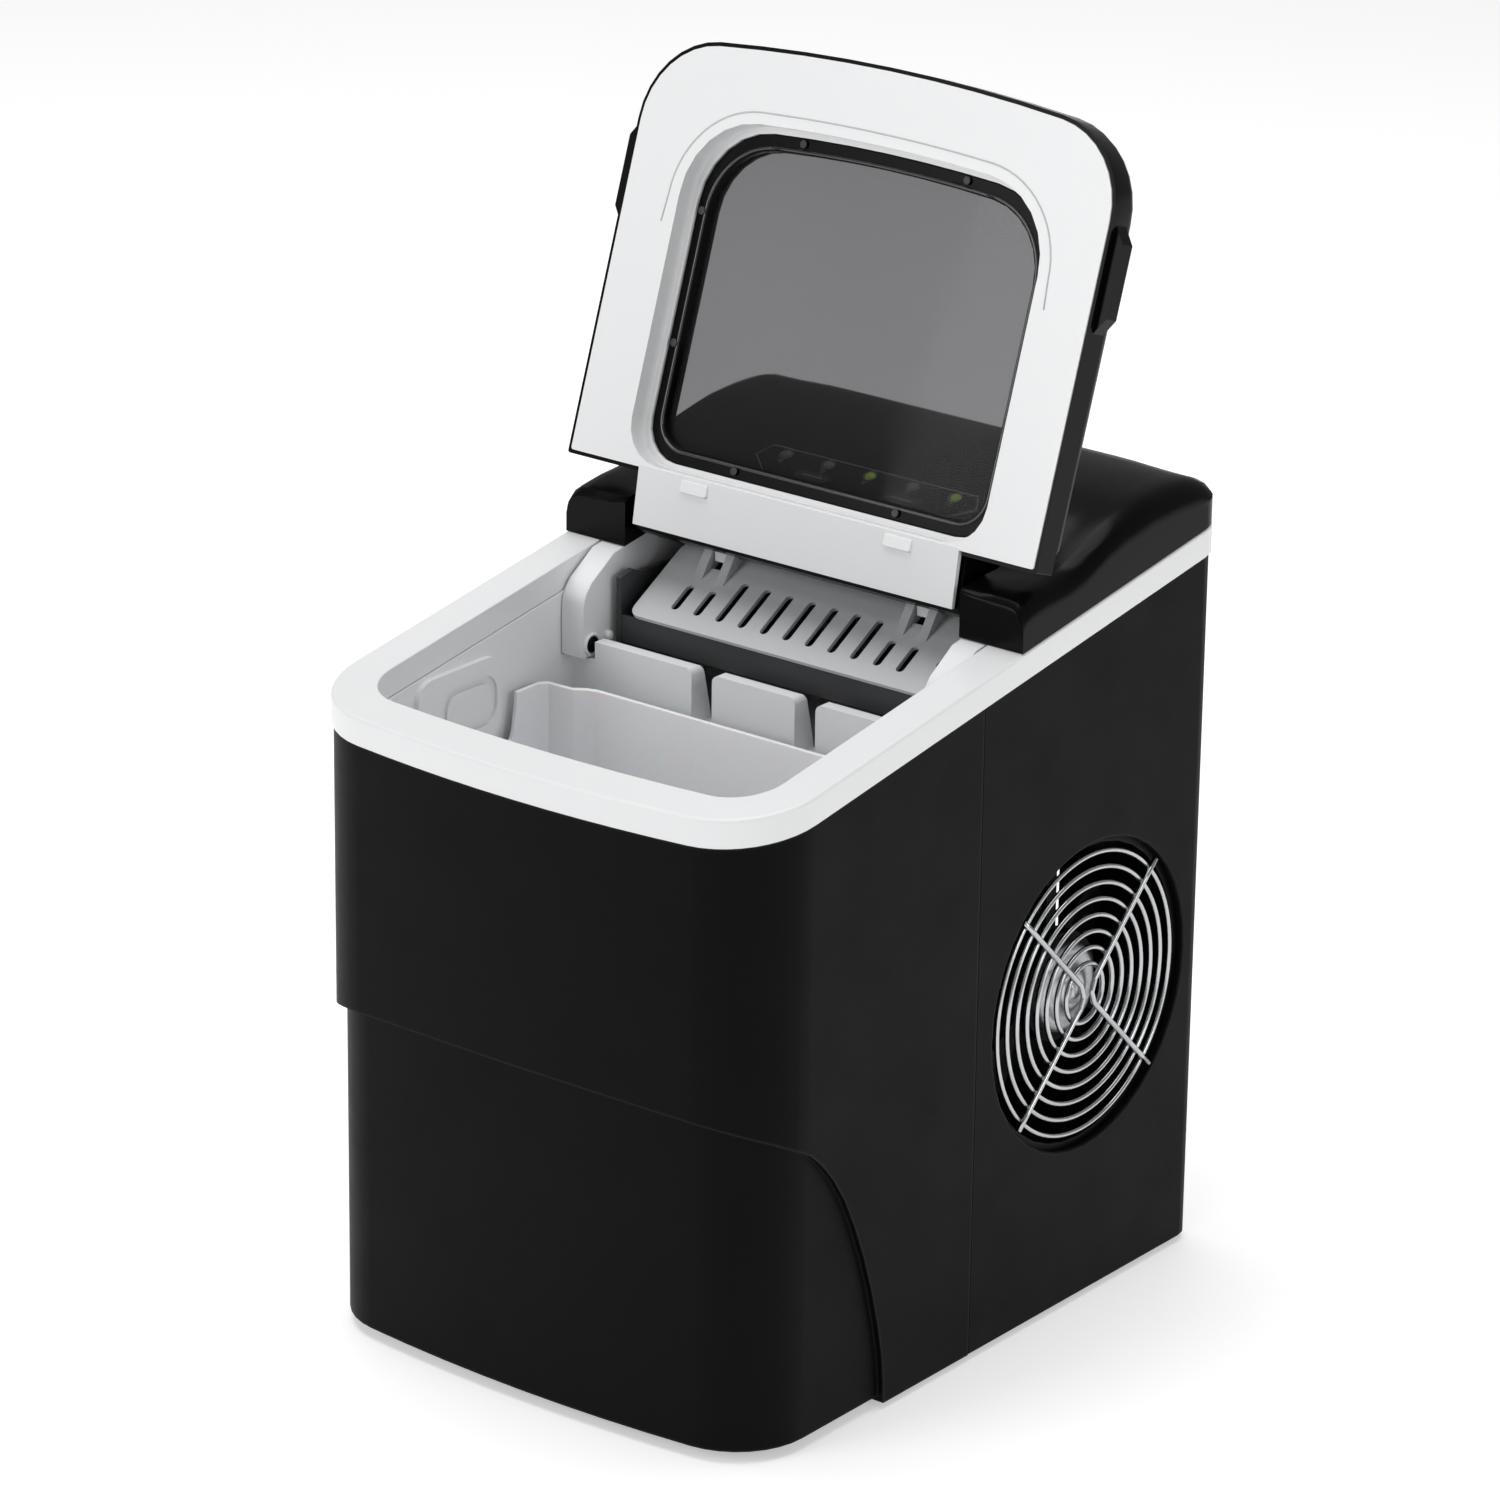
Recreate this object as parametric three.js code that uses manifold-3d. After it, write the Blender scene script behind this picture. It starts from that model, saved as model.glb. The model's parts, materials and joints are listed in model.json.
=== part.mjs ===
// Countertop bullet-ice maker, lid open. Millimetres, +Z up, front towards -Y, fan grille on +X.
import * as THREE from 'three';
import { mergeVertices } from 'three/addons/utils/BufferGeometryUtils.js';
import Module from 'manifold-3d';

const wasm = await Module();
wasm.setup();

// ---------- driving dimensions ----------
const GAP = 0.3; // clearance between pieces that touch
const FAR = 400; // reach of a cutting block past the object
const FOOT_HEIGHT = 3;
const BODY_HALF_WIDTH = 121;
const BODY_HALF_DEPTH = 161.5;
const BODY_CORNER = 38; // front corner radius in plan
const BODY_BOW = 9; // how far the front bows out
const BODY_REAR_CORNER = 12;
const WALL = 3;
const SEAM_Y = -6; // front and rear shell meet here
const FRONT_TOP = 271.4; // top of the shells at the front face
const RIM_SLOPE = 0.1537; // the rim rises towards the back
const RIM_HEIGHT = 12.5;
const RIM_PROUD = 1;
const LEDGE_Z = 154.3; // the front is set back below this height
const FRONT_INSET = 5;
const SIDE_INSET = 3;
const FRONT_BOTTOM = 5.5;

const OPENING_HALF = 103.3;
const OPENING_FRONT = -142.5;
const OPENING_REAR = 95;
const OPENING_CORNER = 22;
const OPENING_BOW = 5;

const TUB_WALL = 2.5;
const TUB_FLOOR = 60;
const TUB_REAR = -5; // inner face of the partition
const CHAMBER_FLOOR = 238;
const TEETH_TOP = 275.5;
const TEETH_LOW = 250;

const LID_ANGLE = THREE.MathUtils.degToRad(18.6); // leans back past upright
const LID_Y = 22.6; // lower edge of the inner panel
const LID_Z = 347.6;
const LID_HALF = 122.5;
const LID_LENGTH = 186;
const LID_BOW = 8.5;
const LID_CORNER = 37;
const HINGE_Y = 30.4;
const HINGE_Z = 327.9;
const TONGUE_HALF = 86.5;

const FEET = [[-88, -118], [88, -118], [-92, 132], [92, 132]];
const DRAIN_Y = -62;
const DRAIN_Z = 72;
const DRAIN_RADIUS = 9;
const GLAND_X = -62;
const GLAND_Z = 34;

const FAN_Y = 75;
const FAN_Z = 142.3;
const FAN_HOLE = 69.5;
const GUARD_RINGS = 8;
const GUARD_OUTER = 63.2;
const GUARD_PITCH = 7.1;
const GUARD_X = 118.2;
const GUARD_WIRE = 1.1;

const TRAY_AXIS_Y = 78;
const TRAY_AXIS_Z = 303;
const ROD_Y = 44.5;
const ROD_Z = 311;

const SUCTION_X = -60; // the suction pipe climbs here, behind the ice chamber
const SUCTION_Y = 110;
const SUCTION_RADIUS = 2.5;

const SHELF_Z = 165; // the basket rests on this shelf of the tub
const SHELF_WIDTH = 8;
const CHEEK_FROM = 86; // the side brackets stand outside this
const DRAIN_SLOTS = 9; // narrow slots in the basket floor

const COVER_FRONT = 47.5;
const COVER_WALL = 2.5;
const COVER_HALF = BODY_HALF_WIDTH + 0.6;
const COVER_REAR = BODY_HALF_DEPTH + 0.5;
const COVER_BASE = 290; // the blank reaches below the rim and is trimmed to it
const ARM_INNER = 89;
const ARM_FRONT = 18.5;

const PANEL_Y = 69.5;
const PANEL_Z = 346.1;
const PANEL_TILT = Math.atan2(347.8 - 342, 75 - 61);
const LAMPS = 5;
const LAMP_PITCH = 22.5;
const BUTTON_X = 24;

const AXIS_LOCAL_Y = 13.7; // hinge axis in the lid's frame
const AXIS_LOCAL_Z = -16.2;
const SKIN_PROUD = 1.7; // the skin stands this far outside the inner panel

const SHOVEL_LENGTH = 45.5;
const SHOVEL_SLOTS = 11;
const SHOVEL_PITCH = 12;
const SHOVEL_FRONT_Y = 8.4; // front edge of the shovel
const SHOVEL_FRONT_Z = 286.4;
const HANGERS = [-54, 54]; // the rod is held here, between two ears of the shovel
const EARS = HANGERS.flatMap((x) => [x - 6, x + 6]);
const FINGERS = 8;
const FINGER_PITCH = 18.5;
const CONDENSER_FINS = 11;
const CONDENSER_PITCH = 11;
const EVAPORATOR_Y = 60.5;

// ---------- materials ----------
function material(color, roughness, metalness, opacity = 1) {
  return new THREE.MeshStandardMaterial({
    color, roughness, metalness, opacity, transparent: opacity < 1,
  });
}
const BLACK = material(0x17181a, 0.45, 0);
const GLOSS_BLACK = material(0x121314, 0.25, 0);
const WHITE = material(0xe9eaec, 0.35, 0);
const LINER_WHITE = material(0xd6dae0, 0.45, 0);
const LIGHT_GREY = material(0xb4b6b8, 0.5, 0);
const DARK_GREY = material(0x333435, 0.55, 0);
const SMOKED = material(0x3a3a3c, 0.12, 0, 0.5);
const CLEAR_WHITE = material(0xdfe4ea, 0.35, 0, 0.8);
const CHROME = material(0xc8cacc, 0.2, 1);
const NICKEL = material(0xb8babd, 0.3, 1);
const COPPER = material(0xb3683c, 0.35, 1);
const ALUMINIUM = material(0xa9acaf, 0.45, 1);
const STEEL = material(0x6c6f72, 0.4, 1);
const COMPRESSOR_BLACK = material(0x1b1c1e, 0.4, 0.6);
const RUBBER = material(0x1c1c1c, 0.85, 0);
const BOARD_GREEN = material(0x1f5a34, 0.6, 0);
const LAMP_GREY = material(0x6b6e6c, 0.35, 0);
const LAMP_GREEN = material(0x7fae2e, 0.3, 0);

// ---------- solids ----------
function solid(geometry) {
  const bare = geometry.index ? geometry.toNonIndexed() : geometry.clone();
  bare.deleteAttribute('normal');
  bare.deleteAttribute('uv');
  const merged = mergeVertices(bare, 1e-4);
  return new wasm.Manifold(new wasm.Mesh({
    numProp: 3,
    vertProperties: new Float32Array(merged.attributes.position.array),
    triVerts: new Uint32Array(merged.index.array),
  }));
}

function toGeometry(body) {
  const mesh = body.getMesh();
  const geometry = new THREE.BufferGeometry();
  geometry.setAttribute('position', new THREE.BufferAttribute(mesh.vertProperties.slice(), 3));
  geometry.setIndex(new THREE.BufferAttribute(mesh.triVerts.slice(), 1));
  geometry.computeVertexNormals();
  return geometry;
}

function part(name, body, look) {
  const mesh = new THREE.Mesh(toGeometry(body), look.clone());
  mesh.name = name;
  return mesh;
}

function shapeOf(points) {
  return new THREE.Shape(points.map((p) => new THREE.Vector2(p[0], p[1])));
}

function extruded(points, depth) {
  return new THREE.ExtrudeGeometry(shapeOf(points), { depth, bevelEnabled: false });
}

// outline in X and Y, raised along Z
function prismZ(points, low, high) {
  return solid(extruded(points, high - low).translate(0, 0, low));
}

// outline in Y and Z, run along X
function prismX(points, low, high) {
  const turn = new THREE.Matrix4().makeBasis(
    new THREE.Vector3(0, 1, 0), new THREE.Vector3(0, 0, 1), new THREE.Vector3(1, 0, 0),
  );
  return solid(extruded(points, high - low).applyMatrix4(turn).translate(low, 0, 0));
}

// outline in X and Z, run along Y
function prismY(points, low, high) {
  return solid(extruded(points, high - low).rotateX(Math.PI / 2).translate(0, high, 0));
}

function box(x0, x1, y0, y1, z0, z1) {
  const geometry = new THREE.BoxGeometry(x1 - x0, y1 - y0, z1 - z0);
  return solid(geometry.translate((x0 + x1) / 2, (y0 + y1) / 2, (z0 + z1) / 2));
}

function rodZ(radius, x, y, low, high, sides = 20) {
  const geometry = new THREE.CylinderGeometry(radius, radius, high - low, sides);
  return solid(geometry.rotateX(Math.PI / 2).translate(x, y, (low + high) / 2));
}

function rodX(radius, y, z, low, high, sides = 20) {
  const geometry = new THREE.CylinderGeometry(radius, radius, high - low, sides);
  return solid(geometry.rotateZ(Math.PI / 2).translate((low + high) / 2, y, z));
}

function rodY(radius, x, z, low, high, sides = 20) {
  const geometry = new THREE.CylinderGeometry(radius, radius, high - low, sides);
  return solid(geometry.translate(x, (low + high) / 2, z));
}

// round pipe along a rounded path
function pipe(points, radius, sides = 8, steps = 24) {
  const corners = points.map((p) => new THREE.Vector3(p[0], p[1], p[2]));
  const path = new THREE.CatmullRomCurve3(corners, false, 'catmullrom', 0.15);
  const ring = [];
  for (let i = 0; i < sides; i += 1) {
    const angle = (i / sides) * 2 * Math.PI;
    ring.push([radius * Math.cos(angle), radius * Math.sin(angle)]);
  }
  const options = { steps, extrudePath: path, bevelEnabled: false };
  return solid(new THREE.ExtrudeGeometry(shapeOf(ring), options));
}

// rounds the corners of a pipe's route
function rounded(points, radius) {
  const corners = points.map((p) => new THREE.Vector3(p[0], p[1], p[2]));
  const route = [points[0]];
  for (let i = 1; i < corners.length - 1; i += 1) {
    const corner = corners[i];
    const from = corners[i - 1].clone().sub(corner).setLength(radius).add(corner);
    const to = corners[i + 1].clone().sub(corner).setLength(radius).add(corner);
    const bend = new THREE.QuadraticBezierCurve3(from, corner, to);
    bend.getPoints(4).forEach((p) => route.push(p.toArray()));
  }
  route.push(points[points.length - 1]);
  return route;
}

function union(list) {
  return list.reduce((whole, piece) => whole.add(piece));
}

// ---------- outlines ----------
function arc(points, cx, cy, radius, from, to, steps) {
  for (let i = 0; i <= steps; i += 1) {
    const angle = from + ((to - from) * i) / steps;
    points.push([cx + radius * Math.cos(angle), cy + radius * Math.sin(angle)]);
  }
}

// plan with a bowed front and rounded corners; front is the lowest y
function bowedPlan(half, front, rear, corner, bow, rearCorner, steps = 8) {
  const bowRadius = (half * half + bow * bow) / (2 * bow);
  const bowCentre = front + bowRadius;
  const cx = half - corner;
  const cy = bowCentre - Math.sqrt((bowRadius - corner) ** 2 - cx * cx);
  const join = Math.atan2(cy - bowCentre, cx);
  const points = [];
  arc(points, half - rearCorner, rear - rearCorner, rearCorner, Math.PI / 2, 0, 4);
  arc(points, cx, cy, corner, 0, join, steps);
  arc(points, 0, bowCentre, bowRadius, join, -Math.PI - join, steps);
  arc(points, -cx, cy, corner, -Math.PI - join, -Math.PI, steps);
  arc(points, rearCorner - half, rear - rearCorner, rearCorner, Math.PI, Math.PI / 2, 4);
  return points.filter((p, i) => {
    const next = points[(i + 1) % points.length];
    return Math.hypot(p[0] - next[0], p[1] - next[1]) > 0.01;
  });
}

function roundedBox(x0, x1, y0, y1, radius, steps = 4) {
  const points = [];
  arc(points, x1 - radius, y0 + radius, radius, -Math.PI / 2, 0, steps);
  arc(points, x1 - radius, y1 - radius, radius, 0, Math.PI / 2, steps);
  arc(points, x0 + radius, y1 - radius, radius, Math.PI / 2, Math.PI, steps);
  arc(points, x0 + radius, y0 + radius, radius, Math.PI, 1.5 * Math.PI, steps);
  return points;
}

function bodyPlan(offset) {
  return bowedPlan(
    BODY_HALF_WIDTH - offset, -BODY_HALF_DEPTH + offset, BODY_HALF_DEPTH - offset,
    BODY_CORNER - offset, BODY_BOW, BODY_REAR_CORNER - Math.min(offset, 8),
  );
}

function shellTop(y) {
  return FRONT_TOP + RIM_SLOPE * (y + BODY_HALF_DEPTH);
}

// everything above the rim plane raised by height
function aboveRim(height) {
  const y = FAR;
  return prismX([
    [-y, shellTop(-y) + height], [y, shellTop(y) + height], [y, 2 * FAR], [-y, 2 * FAR],
  ], -FAR, FAR);
}

// leans a level slab so that it follows the rim
function alongRim(body) {
  const lean = new THREE.Matrix4().set(
    1, 0, 0, 0,
    0, 1, 0, 0,
    0, RIM_SLOPE, 1, FRONT_TOP + RIM_SLOPE * BODY_HALF_DEPTH,
    0, 0, 0, 1,
  );
  return solid(toGeometry(body).applyMatrix4(lean));
}

// ---------- housing ----------
// side view of the set-back zone: under the ledge and ahead of the swoop
function insetZone(offset) {
  const swoop = new THREE.SplineCurve([
    [-65.5, FRONT_BOTTOM], [-68, 30], [-78.5, 69], [-94.7, 106], [-113, 129.5], [-131.4, 141],
    [-161, LEDGE_Z],
  ].map((p) => new THREE.Vector2(p[0] + offset * 0.9, p[1] + offset * 0.6)));
  const edge = swoop.getPoints(14).map((p) => [p.x, p.y]);
  return prismX([
    [-FAR, -50], [edge[0][0], -50], ...edge, [-FAR, LEDGE_Z + offset * 0.6],
  ], -FAR, FAR);
}

// the outer form of the housing, shrunk by offset
function housingForm(offset) {
  const full = prismZ(bodyPlan(offset), FOOT_HEIGHT, 2 * FAR);
  const low = prismZ(bowedPlan(
    BODY_HALF_WIDTH - SIDE_INSET - offset, -BODY_HALF_DEPTH + FRONT_INSET + offset,
    BODY_HALF_DEPTH, BODY_CORNER - SIDE_INSET - offset, BODY_BOW, 4,
  ), FRONT_BOTTOM, 2 * FAR);
  return full.subtract(insetZone(offset).subtract(low));
}

const outerForm = housingForm(0);
const innerForm = housingForm(WALL);

function frontShell() {
  const shell = outerForm.subtract(innerForm).subtract(aboveRim(-GAP));
  return shell.subtract(box(-FAR, FAR, SEAM_Y - GAP / 2, FAR, -FAR, FAR))
    .subtract(rodX(DRAIN_RADIUS + 1, DRAIN_Y, DRAIN_Z, -130, -100));
}

function sideVents() {
  const cuts = [];
  for (let i = 0; i < 9; i += 1) {
    const y = 32 + i * 11;
    cuts.push(box(-130, -110, y, y + 5, 96, 190));
  }
  return union(cuts);
}

function rearVents() {
  const cuts = [];
  for (let i = 0; i < 8; i += 1) {
    const x = -42 + i * 12;
    cuts.push(box(x - 2.5, x + 2.5, 150, 170, 96, 176));
  }
  return union(cuts);
}

function rearShell() {
  const shell = outerForm.subtract(innerForm).subtract(aboveRim(-GAP));
  return shell.subtract(box(-FAR, FAR, -FAR, SEAM_Y + GAP / 2, -FAR, FAR))
    .subtract(rodX(FAN_HOLE, FAN_Y, FAN_Z, 100, 130, 40))
    .subtract(sideVents())
    .subtract(rearVents())
    .subtract(rodY(8.3, GLAND_X, GLAND_Z, 150, 170, 16));
}

function baseTray() {
  const floor = housingForm(WALL + GAP).subtract(box(-FAR, FAR, -FAR, FAR, 9, 3 * FAR));
  const curb = housingForm(WALL + GAP).subtract(housingForm(WALL + GAP + 2.5))
    .subtract(box(-FAR, FAR, -FAR, FAR, 20, 3 * FAR));
  let tray = floor.add(curb);
  for (const [x, y] of FEET) {
    tray = tray.subtract(rodZ(10 + GAP, x, y, -5, 6.3, 12));
  }
  return tray;
}

function foot(x, y) {
  return rodZ(11, x, y, 0, FOOT_HEIGHT - GAP, 16).add(rodZ(10, x, y, 0, 6, 12));
}

function openingPlan(grow) {
  return bowedPlan(
    OPENING_HALF + grow, OPENING_FRONT - grow, OPENING_REAR + grow,
    OPENING_CORNER + grow, OPENING_BOW, 8,
  );
}

function topFrame() {
  const outer = bowedPlan(
    BODY_HALF_WIDTH + RIM_PROUD, -BODY_HALF_DEPTH - RIM_PROUD, BODY_HALF_DEPTH + RIM_PROUD,
    BODY_CORNER + RIM_PROUD, BODY_BOW, BODY_REAR_CORNER + RIM_PROUD, 10,
  );
  const crown = new THREE.ExtrudeGeometry(shapeOf(outer), {
    depth: RIM_HEIGHT - 2, bevelEnabled: true, bevelThickness: 1.4, bevelSize: 1.4,
    bevelOffset: -1.4, bevelSegments: 2,
  }).translate(0, 0, 0.6);
  const ring = solid(crown)
    .subtract(box(-FAR, FAR, -FAR, FAR, -20, 0))
    .subtract(prismZ(openingPlan(0), -20, 30));
  const skirt = prismZ(bodyPlan(WALL + GAP), -7, 1)
    .subtract(prismZ(bodyPlan(WALL + GAP + 2), -8, 2));
  return alongRim(ring.add(skirt)
    .subtract(box(SUCTION_X - 4, SUCTION_X + 4, OPENING_REAR - 5, SUCTION_Y + 4, -10, 30)));
}

// ---------- tub ----------

function tubPlan(grow) {
  const half = OPENING_HALF - 0.8;
  return bowedPlan(
    half + grow, OPENING_FRONT + 0.8 - grow, TUB_REAR,
    OPENING_CORNER + grow, OPENING_BOW, 5,
  );
}

function reservoirLiner() {
  const half = OPENING_HALF - 0.8;
  const back = TUB_REAR + TUB_WALL;
  const outside = prismZ(bowedPlan(
    half + TUB_WALL, OPENING_FRONT + 0.8 - TUB_WALL, OPENING_REAR,
    OPENING_CORNER + 2, OPENING_BOW, 5,
  ), SHELF_Z - TUB_WALL, 2 * FAR);
  const outsideLow = prismZ(bowedPlan(
    half + TUB_WALL - SHELF_WIDTH, OPENING_FRONT + 0.8 - TUB_WALL + SHELF_WIDTH, back,
    OPENING_CORNER, OPENING_BOW, 5,
  ), TUB_FLOOR - TUB_WALL, SHELF_Z);
  const inside = prismZ(tubPlan(0), SHELF_Z, 2 * FAR);
  const insideLow = prismZ(tubPlan(-SHELF_WIDTH), TUB_FLOOR, SHELF_Z + 5);
  const chamber = box(-half, half, back, OPENING_REAR - TUB_WALL, CHAMBER_FLOOR, 2 * FAR);
  const under = box(-FAR, FAR, back, FAR, -FAR, CHAMBER_FLOOR - TUB_WALL);
  const overTeeth = box(-half, half, TUB_REAR - 9, back + 1, TEETH_TOP, 2 * FAR);
  let liner = outside.subtract(under).add(outsideLow)
    .subtract(inside).subtract(insideLow).subtract(chamber);
  liner = liner.subtract(overTeeth).add(teethBlock()).subtract(teethGaps())
    .subtract(cheekRoom(half, -1)).subtract(cheekRoom(half, 1))
    .subtract(aboveRim(-GAP));
  const flange = alongRim(prismZ(openingPlan(8), -2.6, -GAP)
    .subtract(prismZ(openingPlan(-0.5), -5, 2)));
  const port = rodX(5.3, DRAIN_Y, DRAIN_Z, -110, -80, 16);
  return liner.add(flange).add(wallBoss(half)).subtract(port);
}

// row of wedge-shaped teeth along the top of the partition, sloping down towards the tray
function teethBlock() {
  return prismX([
    [TUB_REAR, 234], [TUB_REAR + 17, 236.5], [TUB_REAR + 8.4, TEETH_TOP - 2.4],
    [TUB_REAR + 7.4, TEETH_TOP - 0.6], [TUB_REAR + 5.6, TEETH_TOP],
    [TUB_REAR + 2.4, TEETH_TOP], [TUB_REAR + 0.7, TEETH_TOP - 0.7], [TUB_REAR, TEETH_TOP - 2.4],
  ], -CHEEK_FROM, CHEEK_FROM);
}

// gaps between the teeth, flared at the top so that the teeth have round shoulders
function teethGaps() {
  const cuts = [];
  for (const middle of [-27.6, 27.6]) {
    const right = [];
    arc(right, middle + 8.7, TEETH_TOP - 3.2, 3.2, Math.PI, Math.PI / 2, 4);
    const left = right.map((p) => [2 * middle - p[0], p[1]]).reverse();
    cuts.push(prismY([
      [middle - 5.5, TEETH_LOW], [middle + 5.5, TEETH_LOW], ...right,
      [middle + 8.7, TEETH_TOP + 9], [middle - 8.7, TEETH_TOP + 9], ...left,
    ], TUB_REAR - 8, TUB_REAR + 14));
  }
  return union(cuts);
}

// the partition is lower where a side bracket stands
function cheekRoom(half, side) {
  const low = side > 0 ? CHEEK_FROM : -half;
  const high = side > 0 ? half : -CHEEK_FROM;
  return box(low, high, TUB_REAR - 9, 91, 267, 2 * FAR);
}

// raised rounded boss on the left wall, with a groove sunk into it
function wallBoss(half) {
  const boss = prismX(roundedBox(-104, -50, 243, 280, 9), -half - 1, -half + 2.6);
  const groove = prismX(roundedBox(-89, -53, 249.5, 272.5, 9), -half + 1.2, -half + 4)
    .subtract(prismX(roundedBox(-85.5, -56.5, 253, 269, 6.5), -half, -half + 5));
  return boss.subtract(groove);
}

function basketPlan(inset) {
  const half = 98.5 - inset;
  const rear = -19 - inset;
  const front = bowedPlan(half, -135 + inset, rear, 22 - inset, 4.5, 3, 8);
  const left = front.filter((p) => !(p[1] > -40));
  // concave channels in both rear corners
  const corner = [
    [-half, rear - 9], [-half + 3, rear - 5.5], [-half + 9, rear - 5.5],
    [-half + 16, rear - 5], [-half + 21, rear - 1.5], [-half + 26, rear],
  ];
  const mirrored = corner.map((p) => [-p[0], p[1]]).reverse();
  return [...left, ...corner, ...mirrored];
}

function iceBasket() {
  let basket = prismZ(basketPlan(0), SHELF_Z + GAP, 261)
    .subtract(prismZ(basketPlan(2), SHELF_Z + 2.5, 300));
  const lowered = prismX([
    [-FAR, 239], [-51, 239], [-47.5, 240.5], [-46, 244], [-44, 256], [-41, 300], [-FAR, 300],
  ], -FAR, FAR);
  basket = basket.subtract(lowered);
  const cuts = [];
  for (let i = 0; i < DRAIN_SLOTS; i += 1) {
    const x = (i - (DRAIN_SLOTS - 1) / 2) * 15;
    cuts.push(box(x - 1.8, x + 1.8, -116, -52, SHELF_Z - 5, SHELF_Z + 10));
  }
  return basket.subtract(union(cuts));
}

function drainSpout() {
  return rodX(5, DRAIN_Y, DRAIN_Z, -119, -91, 16)
    .add(rodX(7.5, DRAIN_Y, DRAIN_Z, -103, -98.5, 16))
    .subtract(rodX(3.2, DRAIN_Y, DRAIN_Z, -130, -80, 12));
}

function drainCap() {
  return rodX(DRAIN_RADIUS, DRAIN_Y, DRAIN_Z, -125, -119.5, 24)
    .add(rodX(2.7, DRAIN_Y, DRAIN_Z, -121, -106, 12))
    .add(box(-127.5, -124, DRAIN_Y - 6.5, DRAIN_Y + 6.5, DRAIN_Z - 1.6, DRAIN_Z + 1.6));
}

// ---------- rear cover ----------

// height of a profile at y, points given from front to rear
function heightAt(profile, y) {
  const i = profile.findIndex((p) => p[0] >= y);
  if (i <= 0) return profile[i < 0 ? profile.length - 1 : 0][1];
  const [y0, z0] = profile[i - 1];
  const [y1, z1] = profile[i];
  return z0 + ((z1 - z0) * (y - y0)) / (y1 - y0);
}

const MIDDLE_PROFILE = [
  [17, 334], [47.5, 334], [50, 336.6], [61, 342], [75, 347.8], [88, 351.6], [104, 354.2],
  [124, 355.6], [140, 355.4], [151, 354], [157, 351], [160.4, 346], [COVER_REAR, 338],
];
const ARM_PROFILE = [
  [ARM_FRONT, 329], [19.6, 331.6], [22.2, 333.2], [36, 335.2], [50, 336], [60, 338.2],
  [68, 341.6], [80, 347], [94, 351.2], [112, 354.2], [132, 355], [148, 354],
  [156.5, 350.6], [160.4, 345.4], [COVER_REAR, 338],
];

function smooth(value, from, to) {
  return THREE.MathUtils.smoothstep(value, from, to);
}

// top surface: the middle and the arms flow into each other, rounded off along both sides
function coverTop(x, y) {
  const side = Math.abs(x);
  const blend = smooth(side, 74, 106);
  const flat = heightAt(MIDDLE_PROFILE, y) * (1 - blend) + heightAt(ARM_PROFILE, y) * blend;
  const radius = 9 + 2 * smooth(y, 50, 110);
  const into = Math.max(0, Math.min(side - (COVER_HALF - radius), radius));
  return flat - (radius - Math.sqrt(radius * radius - into * into));
}

function coverForm(inset) {
  const depth = COVER_REAR - ARM_FRONT;
  const blank = new THREE.BoxGeometry(2, 2, 2, 30, 22, 1);
  const place = blank.attributes.position;
  for (let i = 0; i < place.count; i += 1) {
    const x = COVER_HALF * Math.sin((place.getX(i) * Math.PI) / 2);
    const y = ARM_FRONT + (depth * (1 + Math.sin((place.getY(i) * Math.PI) / 2))) / 2;
    place.setXYZ(i, x, y, place.getZ(i) > 0 ? coverTop(x, y) - inset : COVER_BASE - inset);
  }
  const plan = prismZ(bowedPlan(
    COVER_HALF - inset, -BODY_HALF_DEPTH, COVER_REAR - inset, BODY_CORNER, BODY_BOW,
    BODY_REAR_CORNER - inset,
  ), COVER_BASE - 5, 400);
  const notch = box(-ARM_INNER - inset, ARM_INNER + inset, 0, COVER_FRONT + inset, 200, 400);
  return solid(blank).intersect(plan).subtract(notch);
}

function rearCover() {
  const solidForm = coverForm(0).intersect(aboveRim(RIM_HEIGHT + GAP));
  const arms = box(-FAR, -ARM_INNER + 1, -FAR, 56, 0, FAR).add(box(ARM_INNER - 1, FAR, -FAR, 56, 0, FAR));
  const hollow = coverForm(COVER_WALL).subtract(arms);
  const pins = rodX(3.3, HINGE_Y, HINGE_Z, -101, 101, 16);
  return solidForm.subtract(hollow).subtract(pins).subtract(panelSeat()).subtract(panelWindow());
}

// ---------- control panel, laid along the slope of the cover ----------

function onPanel(object) {
  const group = new THREE.Group();
  group.position.set(0, PANEL_Y, PANEL_Z);
  group.rotation.x = PANEL_TILT;
  for (const item of object) group.add(item);
  return group;
}

function tiltToPanel(body) {
  const turn = new THREE.Matrix4().makeRotationX(PANEL_TILT);
  turn.setPosition(0, PANEL_Y, PANEL_Z);
  return solid(toGeometry(body).applyMatrix4(turn));
}

function panelOutline(grow) {
  const g = grow;
  return [
    [-49 - g, -10.5 - g], [49 + g, -10.5 - g], [61 + g, 1], [56 + g, 10 + g],
    [-56 - g, 10 + g], [-61 - g, 1],
  ];
}

function panelSeat() {
  return tiltToPanel(prismZ(panelOutline(0.4), -0.9, 20));
}

function panelWindow() {
  return tiltToPanel(prismZ(panelOutline(-1.2), -12, 2));
}

function controlPanel() {
  let plate = prismZ(panelOutline(0), -0.5, 0.7);
  for (let i = 0; i < LAMPS; i += 1) {
    plate = plate.subtract(rodZ(2.7, (i - 2) * LAMP_PITCH, 5, -5, 5, 12));
  }
  for (const side of [-1, 1]) {
    plate = plate.subtract(prismZ(
      roundedBox(side * BUTTON_X - 9.3, side * BUTTON_X + 9.3, -8.3, -1.7, 3.2, 2), -5, 5,
    ));
  }
  return plate;
}

function lamp(i) {
  const x = (i - 2) * LAMP_PITCH;
  return rodZ(2.35, x, 5, -3, 1.0, 12).add(rodZ(3.4, x, 5, -3, -0.8, 10));
}

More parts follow.
